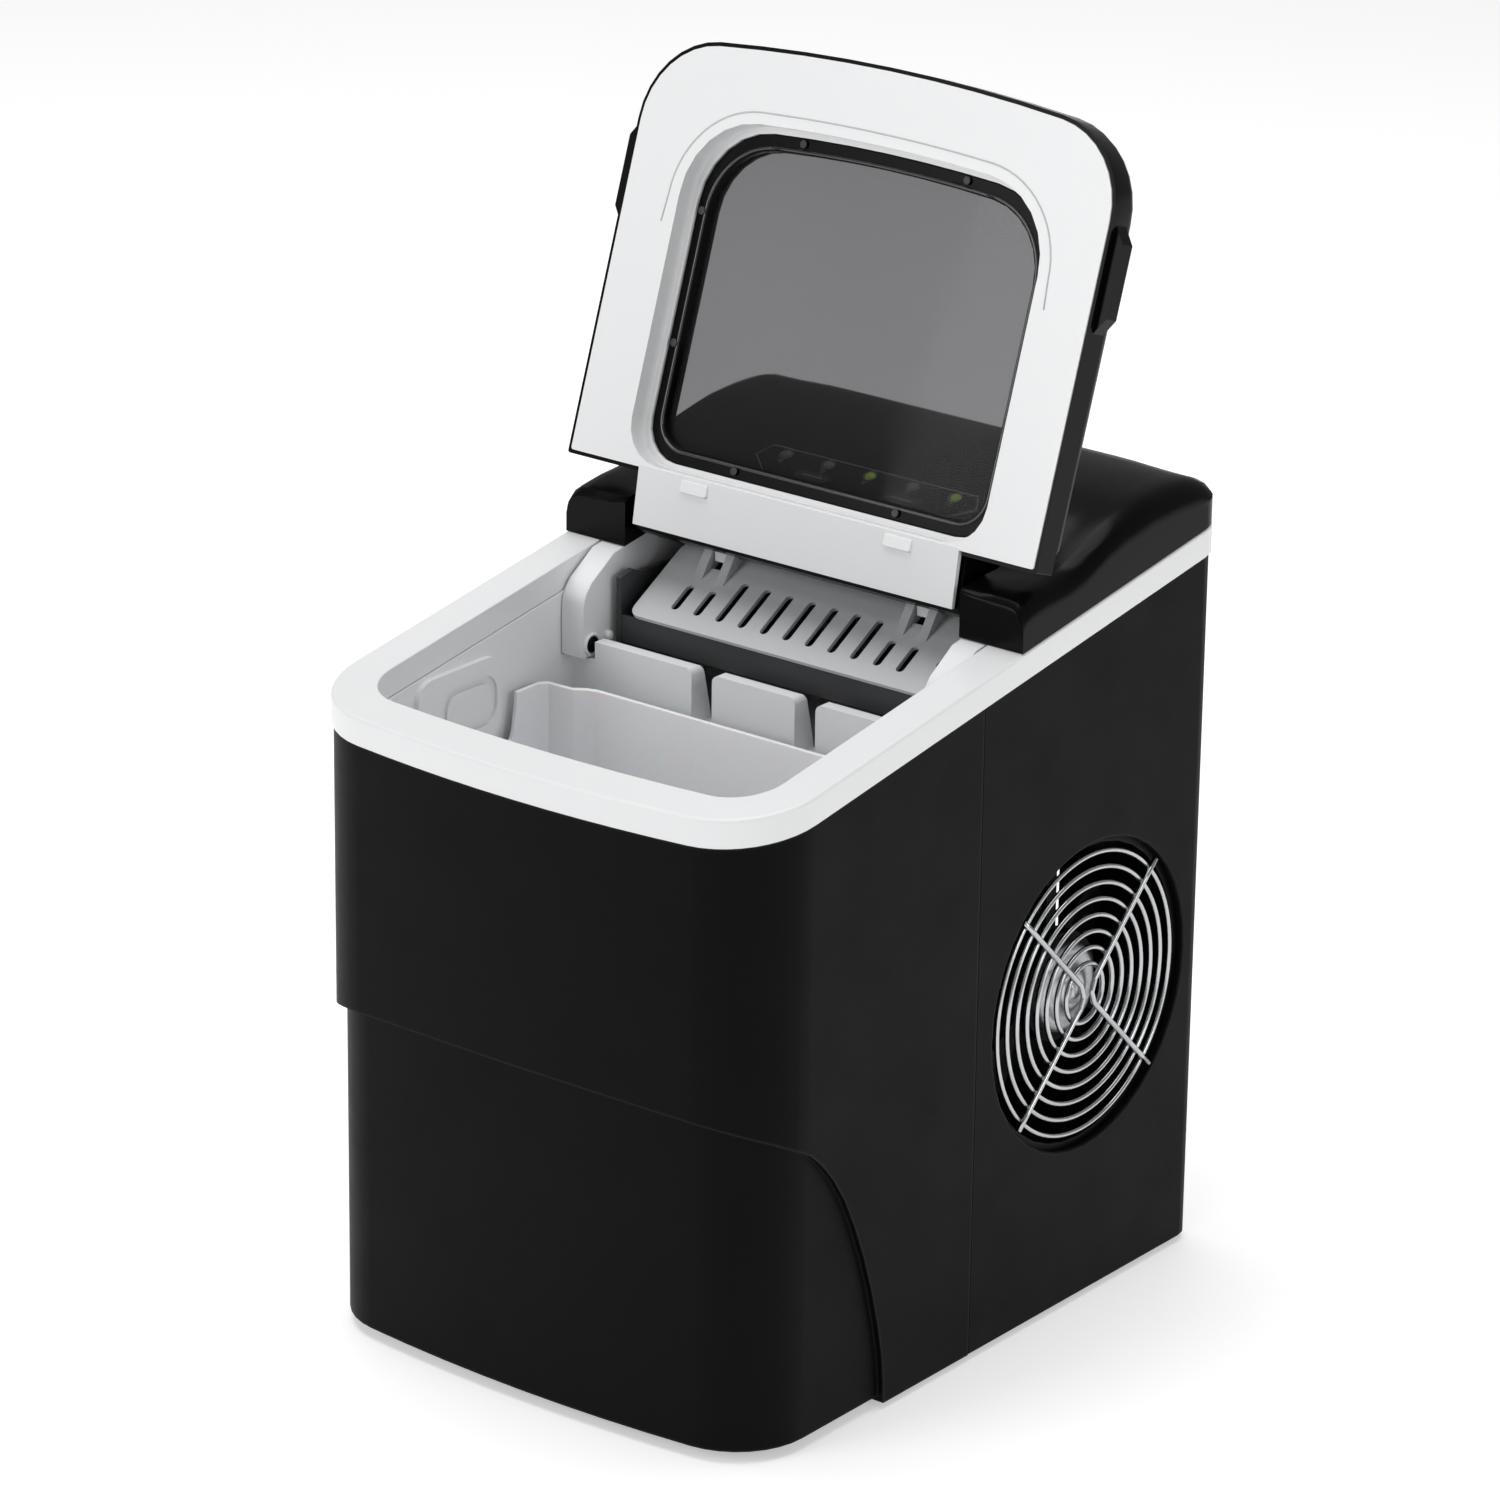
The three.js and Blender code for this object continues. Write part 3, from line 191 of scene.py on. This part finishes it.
def smoked_window():
    """Grey acrylic sheet: each face lets a little under half of the light through."""
    g = Graph("smoked_acrylic")
    clear = g.node("ShaderNodeBsdfTransparent")
    tint = g.mix(g.noise(5.0, 2.0), (0.44, 0.44, 0.45), (0.475, 0.475, 0.48))
    g.link(tint, clear.inputs["Color"])
    shine = g.principled(
        Base_Color=(0.17, 0.17, 0.175), Roughness=g.spread(g.noise(30.0, 4.0), 0.02, 0.07),
        Normal=g.bump(g.noise(6.0, 1.0), 0.008),
    )
    blend = g.node("ShaderNodeMixShader")
    fresnel = g.node("ShaderNodeFresnel")
    fresnel.inputs["IOR"].default_value = 1.35
    g.link(g.spread(fresnel.outputs["Fac"], 0.06, 1.0, 0.0, 1.0), blend.inputs[0])
    g.link(clear.outputs[0], blend.inputs[1])
    g.link(shine.outputs[0], blend.inputs[2])
    return g.finish(blend)


def lit_lens():
    g = Graph("lamp_lens_lit")
    glow = g.mix(g.spread(g.noise(700.0, 2.0), 0.0, 1.0), (0.28, 0.5, 0.03), (0.42, 0.66, 0.06))
    return g.finish(g.principled(
        Base_Color=glow, Roughness=g.spread(g.noise(300.0), 0.2, 0.3),
        Emission_Color=glow, Emission_Strength=0.55,
    ))


def circuit_board():
    g = Graph("circuit_board")
    trace = g.spread(g.noise(160.0, 0.0, 0.5, (1.0, 6.0, 1.0)), 0.0, 1.0, 0.48, 0.52)
    base = g.mix(trace, (0.01, 0.07, 0.025), (0.02, 0.13, 0.05))
    return g.finish(g.principled(Base_Color=base, Roughness=g.spread(trace, 0.35, 0.5),
                                 Normal=g.bump(trace, 0.04)))


LOOKS = {
    # body_black's pale edge colour (0.034) is a painted highlight along the swoop and the other bevelled edges
    "body_black": moulded("body_black", (0.0024, 0.0024, 0.0028), 0.46, 1500.0, 0.03, 0.1, 0.05,
                          (0.034, 0.034, 0.037), 2.0, Specular_IOR_Level=0.06),
    "cover_black": moulded("cover_black", (0.0024, 0.0024, 0.0027), 0.22, 1200.0, 0.004, 0.1, 0.03,
                           Specular_IOR_Level=0.09),
    "rim_white": moulded("rim_white", (0.8, 0.805, 0.812), 0.34, 900.0, 0.006, 0.004, 0.02,
                         Coat_Weight=0.2, Coat_Roughness=0.16),
    "liner_white": moulded("liner_white", (0.8, 0.81, 0.82), 0.42, 900.0, 0.008, 0.005, 0.02),
    "basket_white": moulded("basket_white", (0.82, 0.83, 0.845), 0.36, 700.0, 0.01, 0.008, 0.03,
                            Subsurface_Weight=0.35, Subsurface_Scale=0.004),
    "shovel_grey": moulded("shovel_grey", (0.52, 0.53, 0.54), 0.45, 1200.0, 0.02, 0.04, 0.06),
    "tray_grey": moulded("tray_grey", (0.03, 0.031, 0.033), 0.5, 1200.0, 0.03, 0.12, 0.08),
    "button_grey": moulded("button_grey", (0.02, 0.0205, 0.022), 0.4, 1500.0, 0.02, 0.1, 0.06),
    "rubber_black": moulded("rubber_black", (0.012, 0.012, 0.012), 0.75, 1300.0, 0.06, 0.2, 0.08),
    "compressor_black": moulded("compressor_black", (0.006, 0.006, 0.007), 0.32, 420.0, 0.05, 0.15, 0.08),
    "lamp_off": moulded("lamp_off", (0.42, 0.43, 0.42), 0.28, 700.0, 0.01, 0.06, 0.05),
    "guard_chrome": metal("guard_chrome", (0.5, 0.51, 0.52), 0.17, 260.0, 0.004),
    "nickel": metal("nickel", (0.62, 0.62, 0.6), 0.24, 220.0, 0.01),
    "copper": metal("copper", (0.75, 0.31, 0.16), 0.3, 200.0, 0.01, None, (0.32, 0.1, 0.05)),
    "aluminium": metal("aluminium", (0.6, 0.61, 0.62), 0.36, 500.0, 0.004, (1.0, 1.0, 6.0)),
    "steel": metal("steel", (0.42, 0.43, 0.44), 0.28, 300.0, 0.01, (9.0, 1.0, 1.0)),
    "window_smoked": smoked_window(),
    "lamp_lit": lit_lens(),
    "board_green": circuit_board(),
}
PRINT = moulded("print_grey", (0.5, 0.51, 0.52), 0.5, 900.0, 0.004, 0.06, 0.05)
BEAD = moulded("bead_gloss", (0.01, 0.01, 0.011), 0.12, 900.0, 0.002, 0.1, 0.03, Specular_IOR_Level=0.9)
DARK_SCREW = metal("dark_screw", (0.05, 0.05, 0.052), 0.35, 260.0, 0.01)
# mid-grey on the white lid: painted shade that stands for the lid's moulded groove
PAINTED_GROOVE_SHADE = moulded("groove_shade", (0.5, 0.51, 0.52), 0.5, 900.0, 0.01, 0.04, 0.05)


# ---------- CAD nodes carried over ----------
EDGE_WIDTHS = {
    "front_shell": 0.8, "rear_shell": 0.6, "top_frame": 0.5, "rear_cover": 1.2, "lid_skin": 0.6,
    "lid_inner": 0.8, "reservoir_liner": 0.9, "ice_basket": 0.7, "bracket_left": 1.2,
    "bracket_right": 1.2, "ice_shovel": 0.4, "water_tray": 0.5, "base_tray": 0.6,
}
SMALL_EDGE = 0.3  # width of the rounding on every other piece


def refine(node, width, angle=28.0, segments=2):
    """Smooth shading and rounded edges on a CAD node whose shape is already right."""
    obj = NODES[node]
    if "custom_normal" in obj.data.attributes:
        obj.data.attributes.remove(obj.data.attributes["custom_normal"])
    obj.data.shade_smooth()
    weld = obj.modifiers.new("weld", "WELD")
    weld.merge_threshold = 0.01 * MM
    if node != "ice_shovel":  # its many slots make one flat face too intricate to merge
        plane = obj.modifiers.new("planes", "DECIMATE")
        plane.decimate_type = "DISSOLVE"
        plane.angle_limit = math.radians(0.6)
    bevel = obj.modifiers.new("edges", "BEVEL")
    bevel.width = width * MM
    bevel.segments = segments
    bevel.limit_method = "ANGLE"
    bevel.angle_limit = math.radians(angle)
    bevel.harden_normals = True
    bevel.miter_outer = "MITER_ARC"
    normals = obj.modifiers.new("normals", "WEIGHTED_NORMAL")
    normals.keep_sharp = True
    normals.weight = 60


def dress_nodes():
    slots = {part["node"]: part["material_slot"] for part in frame["record"]["subparts"]}
    for node, obj in NODES.items():
        obj.data.materials.clear()
        obj.data.materials.append(LOOKS[slots[node]])
        refine(node, EDGE_WIDTHS.get(node, SMALL_EDGE))
        if node.startswith("frame_screw"):
            obj.data.materials[0] = DARK_SCREW


# ---------- new pieces ----------
def piece(name, build, body, look, slot, *replaced, bevel=0.0):
    """A mesh built by build(bmesh), riding on a body."""
    bm = bmesh.new()
    build(bm)
    bmesh.ops.recalc_face_normals(bm, faces=bm.faces)
    mesh = bpy.data.meshes.new(name)
    bm.to_mesh(mesh)
    bm.free()
    mesh.shade_smooth()
    obj = bpy.data.objects.new(name, mesh)
    bpy.context.scene.collection.objects.link(obj)
    mesh.materials.append(look)
    if bevel:
        edge = obj.modifiers.new("edges", "BEVEL")
        edge.width = bevel * MM
        edge.segments = 2
        edge.limit_method = "ANGLE"
        edge.harden_normals = True
    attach(obj, body)
    if replaced:
        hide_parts(*replaced)
    return obj


def skin_rings(bm, rings, closed_way=False):
    """Faces between successive rings of the same length; each ring is closed."""
    made = [[bm.verts.new(p) for p in ring] for ring in rings]
    pairs = list(zip(made, made[1:])) + ([(made[-1], made[0])] if closed_way else [])
    for a, b in pairs:
        for i in range(len(a)):
            k = (i + 1) % len(a)
            bm.faces.new((a[i], a[k], b[k], b[i]))
    if not closed_way:
        bm.faces.new(made[0])
        bm.faces.new(made[-1])


def tube(bm, points, radius, closed=False, sides=12):
    """Round wire through points, in metres."""
    count = len(points)
    rings = []
    guide = None
    for i, point in enumerate(points):
        before = points[i - 1] if (i or closed) else points[0]
        after = points[(i + 1) % count] if (i < count - 1 or closed) else points[-1]
        along = (after - before).normalized()
        if guide is None:
            guide = along.orthogonal().normalized()
        guide = (guide - along * guide.dot(along)).normalized()
        other = along.cross(guide)
        ring = []
        for k in range(sides):
            turn = 2 * math.pi * k / sides
            ring.append(point + (guide * math.cos(turn) + other * math.sin(turn)) * radius)
        rings.append(ring)
    skin_rings(bm, rings, closed)


def spin(bm, profile, place, steps=48):
    """Solid of revolution: profile of (along, radius) in millimetres, turned about the matrix's Z."""
    rings = []
    for along, radius in profile:
        ring = []
        for k in range(steps):
            turn = 2 * math.pi * k / steps
            local = Vector((radius * math.cos(turn), radius * math.sin(turn), along)) * MM
            ring.append(place @ local)
        rings.append(ring)
    skin_rings(bm, rings)


def ribbon(bm, path, width, height, place, closed=False):
    """Flat raised line along path, (x, y) in millimetres on a plane whose normal is the matrix's Z."""
    count = len(path)
    rings = []
    for i, point in enumerate(path):
        before = path[i - 1] if (i or closed) else path[0]
        after = path[(i + 1) % count] if (i < count - 1 or closed) else path[-1]
        dx, dy = after[0] - before[0], after[1] - before[1]
        size = math.hypot(dx, dy) or 1.0
        nx, ny = -dy / size * width / 2, dx / size * width / 2
        corners = [(nx, ny, 0.0), (nx, ny, height), (-nx, -ny, height), (-nx, -ny, 0.0)]
        rings.append([place @ (Vector((point[0] + a, point[1] + b, c)) * MM) for a, b, c in corners])
    skin_rings(bm, rings, closed)


def turned(centre, axis):
    """Matrix at centre whose Z axis is axis."""
    return Matrix.Translation(centre) @ Vector(axis).to_track_quat("Z", "Y").to_matrix().to_4x4()


def arc_points(cx, cy, radius, start, end, steps=12):
    points = []
    for i in range(steps + 1):
        turn = start + (end - start) * i / steps
        points.append((cx + radius * math.cos(turn), cy + radius * math.sin(turn)))
    return points


# ---------- fan ----------
FAN_CENTRE = Vector(JOINTS["fan_spin"]["pos_m"])
GUARD_LOW, GUARD_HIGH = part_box("fan_guard")


def guard_wires(bm):
    outer = (GUARD_HIGH.z - GUARD_LOW.z) / 2 - GUARD_WIRE * MM
    x = GUARD_LOW.x + GUARD_WIRE * MM
    for i in range(GUARD_RINGS):
        radius = outer - i * GUARD_PITCH * MM
        ring = []
        for k in range(96):
            turn = 2 * math.pi * k / 96
            ring.append(Vector((x, FAN_CENTRE.y + radius * math.cos(turn),
                                FAN_CENTRE.z + radius * math.sin(turn))))
        tube(bm, ring, GUARD_WIRE * MM, True, 10)
    reach = outer * CROSS_REACH
    for side in (-1, 1):
        bend = 5.0 * MM
        route = [(side * reach, reach), (side * bend, bend * 1.1), (side * bend * 0.6, 0.0),
                 (side * bend, -bend * 1.1), (side * reach, -reach)]
        path = []
        for (y0, z0), (y1, z1) in zip(route, route[1:]):
            for k in range(6):
                t = k / 6
                path.append(Vector((x + 1.7 * MM, FAN_CENTRE.y + y0 + (y1 - y0) * t,
                                    FAN_CENTRE.z + z0 + (z1 - z0) * t)))
        path.append(Vector((x + 1.7 * MM, FAN_CENTRE.y + route[-1][0], FAN_CENTRE.z + route[-1][1])))
        tube(bm, path, GUARD_WIRE * 1.1 * MM, False, 10)


def motor_can(bm):
    low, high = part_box("fan_motor")
    place = turned(Vector((low.x, FAN_CENTRE.y, FAN_CENTRE.z)), (1, 0, 0))
    length = (high.x - low.x) / MM
    spin(bm, [(0, 1.9), (11, 2.0), (11.2, 16), (12, 19), (13.5, 20), (24, 20), (25.5, 19.4),
              (26.4, 17.5), (26.6, 15.5), (26.0, 14.6), (26.2, 10), (28.4, 9), (29.2, 8.2),
              (29.4, 5.5), (28.8, 4.9), (28.8, 4.2), (length, 3.8), (length, 0.5)], place, 56)


def fan_blades(bm):
    low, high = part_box("fan_blade")
    hub = turned(Vector((low.x, FAN_CENTRE.y, FAN_CENTRE.z)), (1, 0, 0))
    deep = (high.x - low.x) / MM
    spin(bm, [(0.6, 2.4), (0.6, 14.5), (2.2, 16.6), (deep - 3.0, 17), (deep - 1.2, 16.4),
              (deep - 0.4, 14.5), (deep - 0.4, 2.4)], hub, 48)
    rows = 9
    for b in range(BLADES):
        turn0 = 2 * math.pi * b / BLADES
        rings = []
        for r in range(rows):
            t = r / (rows - 1)
            radius = 15.5 + 41.5 * t
            half = math.radians(31 - 5 * t - 9 * max(0.0, t - 0.8) / 0.2)
            sweep = math.radians(10) * t
            upper = []
            lower = []
            for c in range(8):
                s = c / 7 * 2 - 1
                angle = turn0 + sweep + s * half
                lift = deep / 2 + s * (deep / 2 - 2.2) * (1 - 0.25 * t) + 1.3 * (1 - s * s)
                thick = 0.8 * (1 - 0.6 * abs(s))
                y, z = radius * math.cos(angle), radius * math.sin(angle)
                upper.append(hub @ (Vector((y, z, lift + thick)) * MM))
                lower.append(hub @ (Vector((y, z, lift - thick)) * MM))
            rings.append(upper + lower[::-1])
        skin_rings(bm, rings)


def add_fan():
    piece("guard_wires", guard_wires, "housing", LOOKS["guard_chrome"], "guard_chrome", "fan_guard")
    piece("motor_can", motor_can, "housing", LOOKS["aluminium"], "aluminium", "fan_motor")
    piece("fan_wheel", fan_blades, "fan", LOOKS["body_black"], "body_black", "fan_blade")


# ---------- control panel ----------
PANEL = Matrix.Translation(PANEL_MIDDLE) @ Matrix.Rotation(PANEL_LEAN, 4, "X")


def lamp_places():
    return [(i - (LAMPS - 1) / 2) * LAMP_PITCH for i in range(LAMPS)]


def panel_line(bm):
    """Printed outline round the lamps and keys."""
    top = PANEL @ Matrix.Translation((0, 0, PANEL_TOP * MM))
    path = [(-47, -9.2), (47, -9.2)]
    path += [(58.6, 0.9), (54.4, 8.9), (-54.4, 8.9), (-58.6, 0.9)]
    ribbon(bm, path, 0.55, 0.08, top, True)


def key_marks(bm):
    """Two short bars below each lamp."""
    top = PANEL @ Matrix.Translation((0, 0, PANEL_TOP * MM))
    for x in lamp_places():
        ribbon(bm, [(x - 1.6, 0.9), (x + 1.6, 0.9)], 0.5, 0.08, top)
        ribbon(bm, [(x - 0.8, -0.3), (x + 0.8, -0.3)], 0.5, 0.08, top)


def key_bar(x):
    def build(bm):
        top = PANEL @ Matrix.Translation((0, 0, 1.7 * MM))
        ribbon(bm, [(x - 5.5, -5.0), (x + 5.5, -5.0)], 1.1, 0.12, top)
    return build


def lens(x):
    def build(bm):
        place = PANEL @ Matrix.Translation(Vector((x, LAMP_Y, 0.0)) * MM)
        spin(bm, [(-2.6, 0.3), (-2.6, 3.2), (-1.0, 3.2), (-0.9, 2.35), (0.7, 2.35), (1.0, 2.15),
                  (1.25, 1.6), (1.38, 0.9), (1.42, 0.2)], place, 32)
    return build


def bezel(x):
    def build(bm):
        place = PANEL @ Matrix.Translation(Vector((x, LAMP_Y, PANEL_TOP)) * MM)
        circle = [place @ (Vector((2.95 * math.cos(a), 2.95 * math.sin(a), 0.05)) * MM)
                  for a in (2 * math.pi * k / 40 for k in range(40))]
        tube(bm, circle, 0.22 * MM, True, 8)
    return build


def add_panel():
    piece("panel_line", panel_line, "housing", PRINT, "lamp_off")
    piece("lamp_marks", key_marks, "housing", PRINT, "lamp_off")
    piece("key_bar_power", key_bar(-KEY_X), "power_key", PRINT, "lamp_off")
    piece("key_bar_select", key_bar(KEY_X), "select_key", PRINT, "lamp_off")
    for i, x in enumerate(lamp_places()):
        slot = "lamp_lit" if i in LIT_LAMPS else "lamp_off"
        piece(f"lens_{i + 1}", lens(x), "housing", LOOKS[slot], slot, f"lamp_{i + 1}")
        piece(f"bezel_{i + 1}", bezel(x), "housing", PRINT, "lamp_off")


# ---------- lid ----------
LID = Matrix.Translation(LID_EDGE) @ Matrix.Rotation(-LID_LEAN, 4, "X")
LID_FACE = LID @ Matrix.Rotation(math.pi / 2, 4, "X")  # X across, Y to the far edge, Z out of the inner face


def far_end(half, high, corner, bow):
    """Rounded far corners of a window outline, joined by a slightly bowed edge."""
    radius = (half * half + bow * bow) / (2 * bow)
    centre = high - radius
    cx = half - corner
    cy = centre + math.sqrt((radius - corner) ** 2 - cx * cx)
    join = math.atan2(cy - centre, cx)
    path = arc_points(cx, cy, corner, 0.0, join, 14)
    path += arc_points(0.0, centre, radius, join, math.pi - join, 24)
    path += arc_points(-cx, cy, corner, math.pi - join, math.pi, 14)
    return path


def window_outline(half, low, high, low_corner, high_corner):
    """Window outline: straight sides, rounded corners and a slightly bowed far edge."""
    inner = half - low_corner
    path = arc_points(inner, low + low_corner, low_corner, -math.pi / 2, 0.0, 10)
    path += far_end(half, high, high_corner, 5.0)
    path += arc_points(-inner, low + low_corner, low_corner, math.pi, 1.5 * math.pi, 10)
    return path


def lid_groove(bm):
    """Grey line painted as the shade in the fine moulded groove that follows the upper part of the window."""
    half, low = 99.5, 104.0
    path = [(half + 1.0, low), *far_end(half, 160.0, 42.0, 5.5), (-half - 1.0, low)]
    ribbon(bm, path, 0.7, 0.12, LID_FACE)


def window_bead(bm):
    """Glossy rounded lip along the inner edge of the window's frame."""
    place = LID_FACE @ Matrix.Translation((0, 0, -11.0 * MM))
    loop = window_outline(86.4, 9.5, 146.6, 14.0, 32.0)
    tube(bm, [place @ (Vector((x, y, 0.0)) * MM) for x, y in loop], 0.8 * MM, True, 12)


def hinge_block(x):
    """White block on the foot of the panel that the lid's stop rests on."""
    def build(bm):
        place = LID_FACE @ Matrix.Translation(Vector((x, -3.2, -1.6)) * MM)
        outline = [(-7.2, -2.4), (-6.2, -3.0), (6.2, -3.0), (7.2, -2.4), (7.2, 2.6), (-7.2, 2.6)]
        rings = [[place @ (Vector((a, b, c)) * MM) for a, b in outline] for c in (-1.5, 2.2)]
        skin_rings(bm, rings)
    return build


def add_lid():
    piece("lid_groove", lid_groove, "lid", PAINTED_GROOVE_SHADE, "rim_white")
    piece("window_bead", window_bead, "lid", BEAD, "cover_black")
    for x, word in ((-54.0, "left"), (54.0, "right")):
        piece(f"hinge_block_{word}", hinge_block(x), "lid", LOOKS["rim_white"], "rim_white", bevel=0.7)


# ---------- ice chamber ----------
def sensor_face(side):
    """Middle of the end of an ice sensor that looks into the chamber."""
    low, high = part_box("ice_sensor_left" if side < 0 else "ice_sensor_right")
    inner = high.x if side < 0 else low.x
    return Vector((inner, (low.y + high.y) / 2, (low.z + high.z) / 2))


def sensor_lens(side):
    def build(bm):
        place = turned(sensor_face(side), (-side, 0, 0))
        spin(bm, [(-8.4, 0.5), (-8.4, 3.4), (-0.4, 3.4), (0.0, 3.0), (-0.5, 2.5), (-0.2, 2.1),
                  (0.5, 1.4), (0.75, 0.6), (0.78, 0.1)], place, 32)
    return build


def sensor_ring(side):
    def build(bm):
        centre = sensor_face(side) + Vector((side * 1.3, 0, 0)) * MM
        circle = [centre + Vector((0, 4.4 * math.cos(a), 4.4 * math.sin(a))) * MM
                  for a in (2 * math.pi * k / 40 for k in range(40))]
        tube(bm, circle, 0.8 * MM, True, 10)
        place = turned(centre + Vector((0, 10.6, 1.2)) * MM, (-side, 0, 0))
        spin(bm, [(-0.6, 0.4), (-0.6, 2.4), (1.2, 2.3), (1.9, 1.7), (2.1, 0.4)], place, 24)
    return build


def add_chamber():
    for side, word in ((-1, "left"), (1, "right")):
        piece(f"sensor_lens_{word}", sensor_lens(side), "housing", LOOKS["cover_black"], "cover_black",
              f"ice_sensor_{word}")
        piece(f"sensor_ring_{word}", sensor_ring(side), "housing", LOOKS["liner_white"], "liner_white")


# ---------- studio ----------
AIM = Vector((-0.0065, -0.0117, 0.2483))
AZIMUTH, ELEVATION, ROLL = 38.16, 20.71, 0.69
DISTANCE = 2.8


def add_camera():
    yaw, pitch, roll = math.radians(-AZIMUTH), math.radians(-ELEVATION), math.radians(ROLL)
    forward = Vector((math.sin(yaw) * math.cos(pitch), math.cos(yaw) * math.cos(pitch), math.sin(pitch)))
    level = forward.cross(Vector((0, 0, 1))).normalized()
    rise = level.cross(forward)
    right = level * math.cos(roll) + rise * math.sin(roll)
    up = rise * math.cos(roll) - level * math.sin(roll)
    data = bpy.data.cameras.new("camera")
    data.sensor_width = 36.0
    data.lens = 159.67
    data.shift_x = 0.0131
    data.shift_y = -0.0012
    data.clip_end = 100.0
    camera = bpy.data.objects.new("camera", data)
    turn = Matrix((right, up, -forward)).transposed().to_4x4()
    camera.matrix_world = Matrix.Translation(AIM - forward * DISTANCE) @ turn
    bpy.context.scene.collection.objects.link(camera)
    bpy.context.scene.camera = camera


def softbox(name, place, size, power, target=(0.0, 0.0, 0.25)):
    data = bpy.data.lights.new(name, "AREA")
    data.shape = "RECTANGLE"
    data.size, data.size_y = size
    data.energy = power
    light = bpy.data.objects.new(name, data)
    way = Vector(target) - Vector(place)
    light.matrix_world = Matrix.Translation(place) @ way.to_track_quat("-Z", "Y").to_matrix().to_4x4()
    bpy.context.scene.collection.objects.link(light)


def add_studio():
    mesh = bpy.data.meshes.new("floor")
    bm = bmesh.new()
    bmesh.ops.create_grid(bm, x_segments=2, y_segments=2, size=12.0)
    bm.to_mesh(mesh)
    bm.free()
    floor = bpy.data.objects.new("floor", mesh)
    bpy.context.scene.collection.objects.link(floor)
    g = Graph("paper_floor")
    paper = g.mix(g.noise(2.0, 2.0), (0.86, 0.86, 0.86), (0.9, 0.9, 0.9))
    mesh.materials.append(g.finish(g.principled(
        Base_Color=paper, Roughness=0.9, Specular_IOR_Level=0.1,
        Emission_Color=(1.0, 1.0, 1.0), Emission_Strength=0.42,
    )))
    world = bpy.data.worlds.new("studio")
    world.use_nodes = True
    world.node_tree.nodes["Background"].inputs["Color"].default_value = (1.0, 1.0, 1.0, 1.0)
    world.node_tree.nodes["Background"].inputs["Strength"].default_value = 0.3
    bpy.context.scene.world = world
    softbox("top_light", (-0.3, 0.1, 2.6), (2.2, 2.2), 44.0)
    softbox("front_light", (-1.2, -2.8, 1.5), (1.4, 1.4), 27.0)
    softbox("side_light", (2.9, -0.2, 1.2), (1.0, 1.4), 16.0)
    bpy.context.scene.view_settings.view_transform = "Standard"


add_camera()
dress_nodes()
add_fan()
add_panel()
add_lid()
add_chamber()
add_studio()
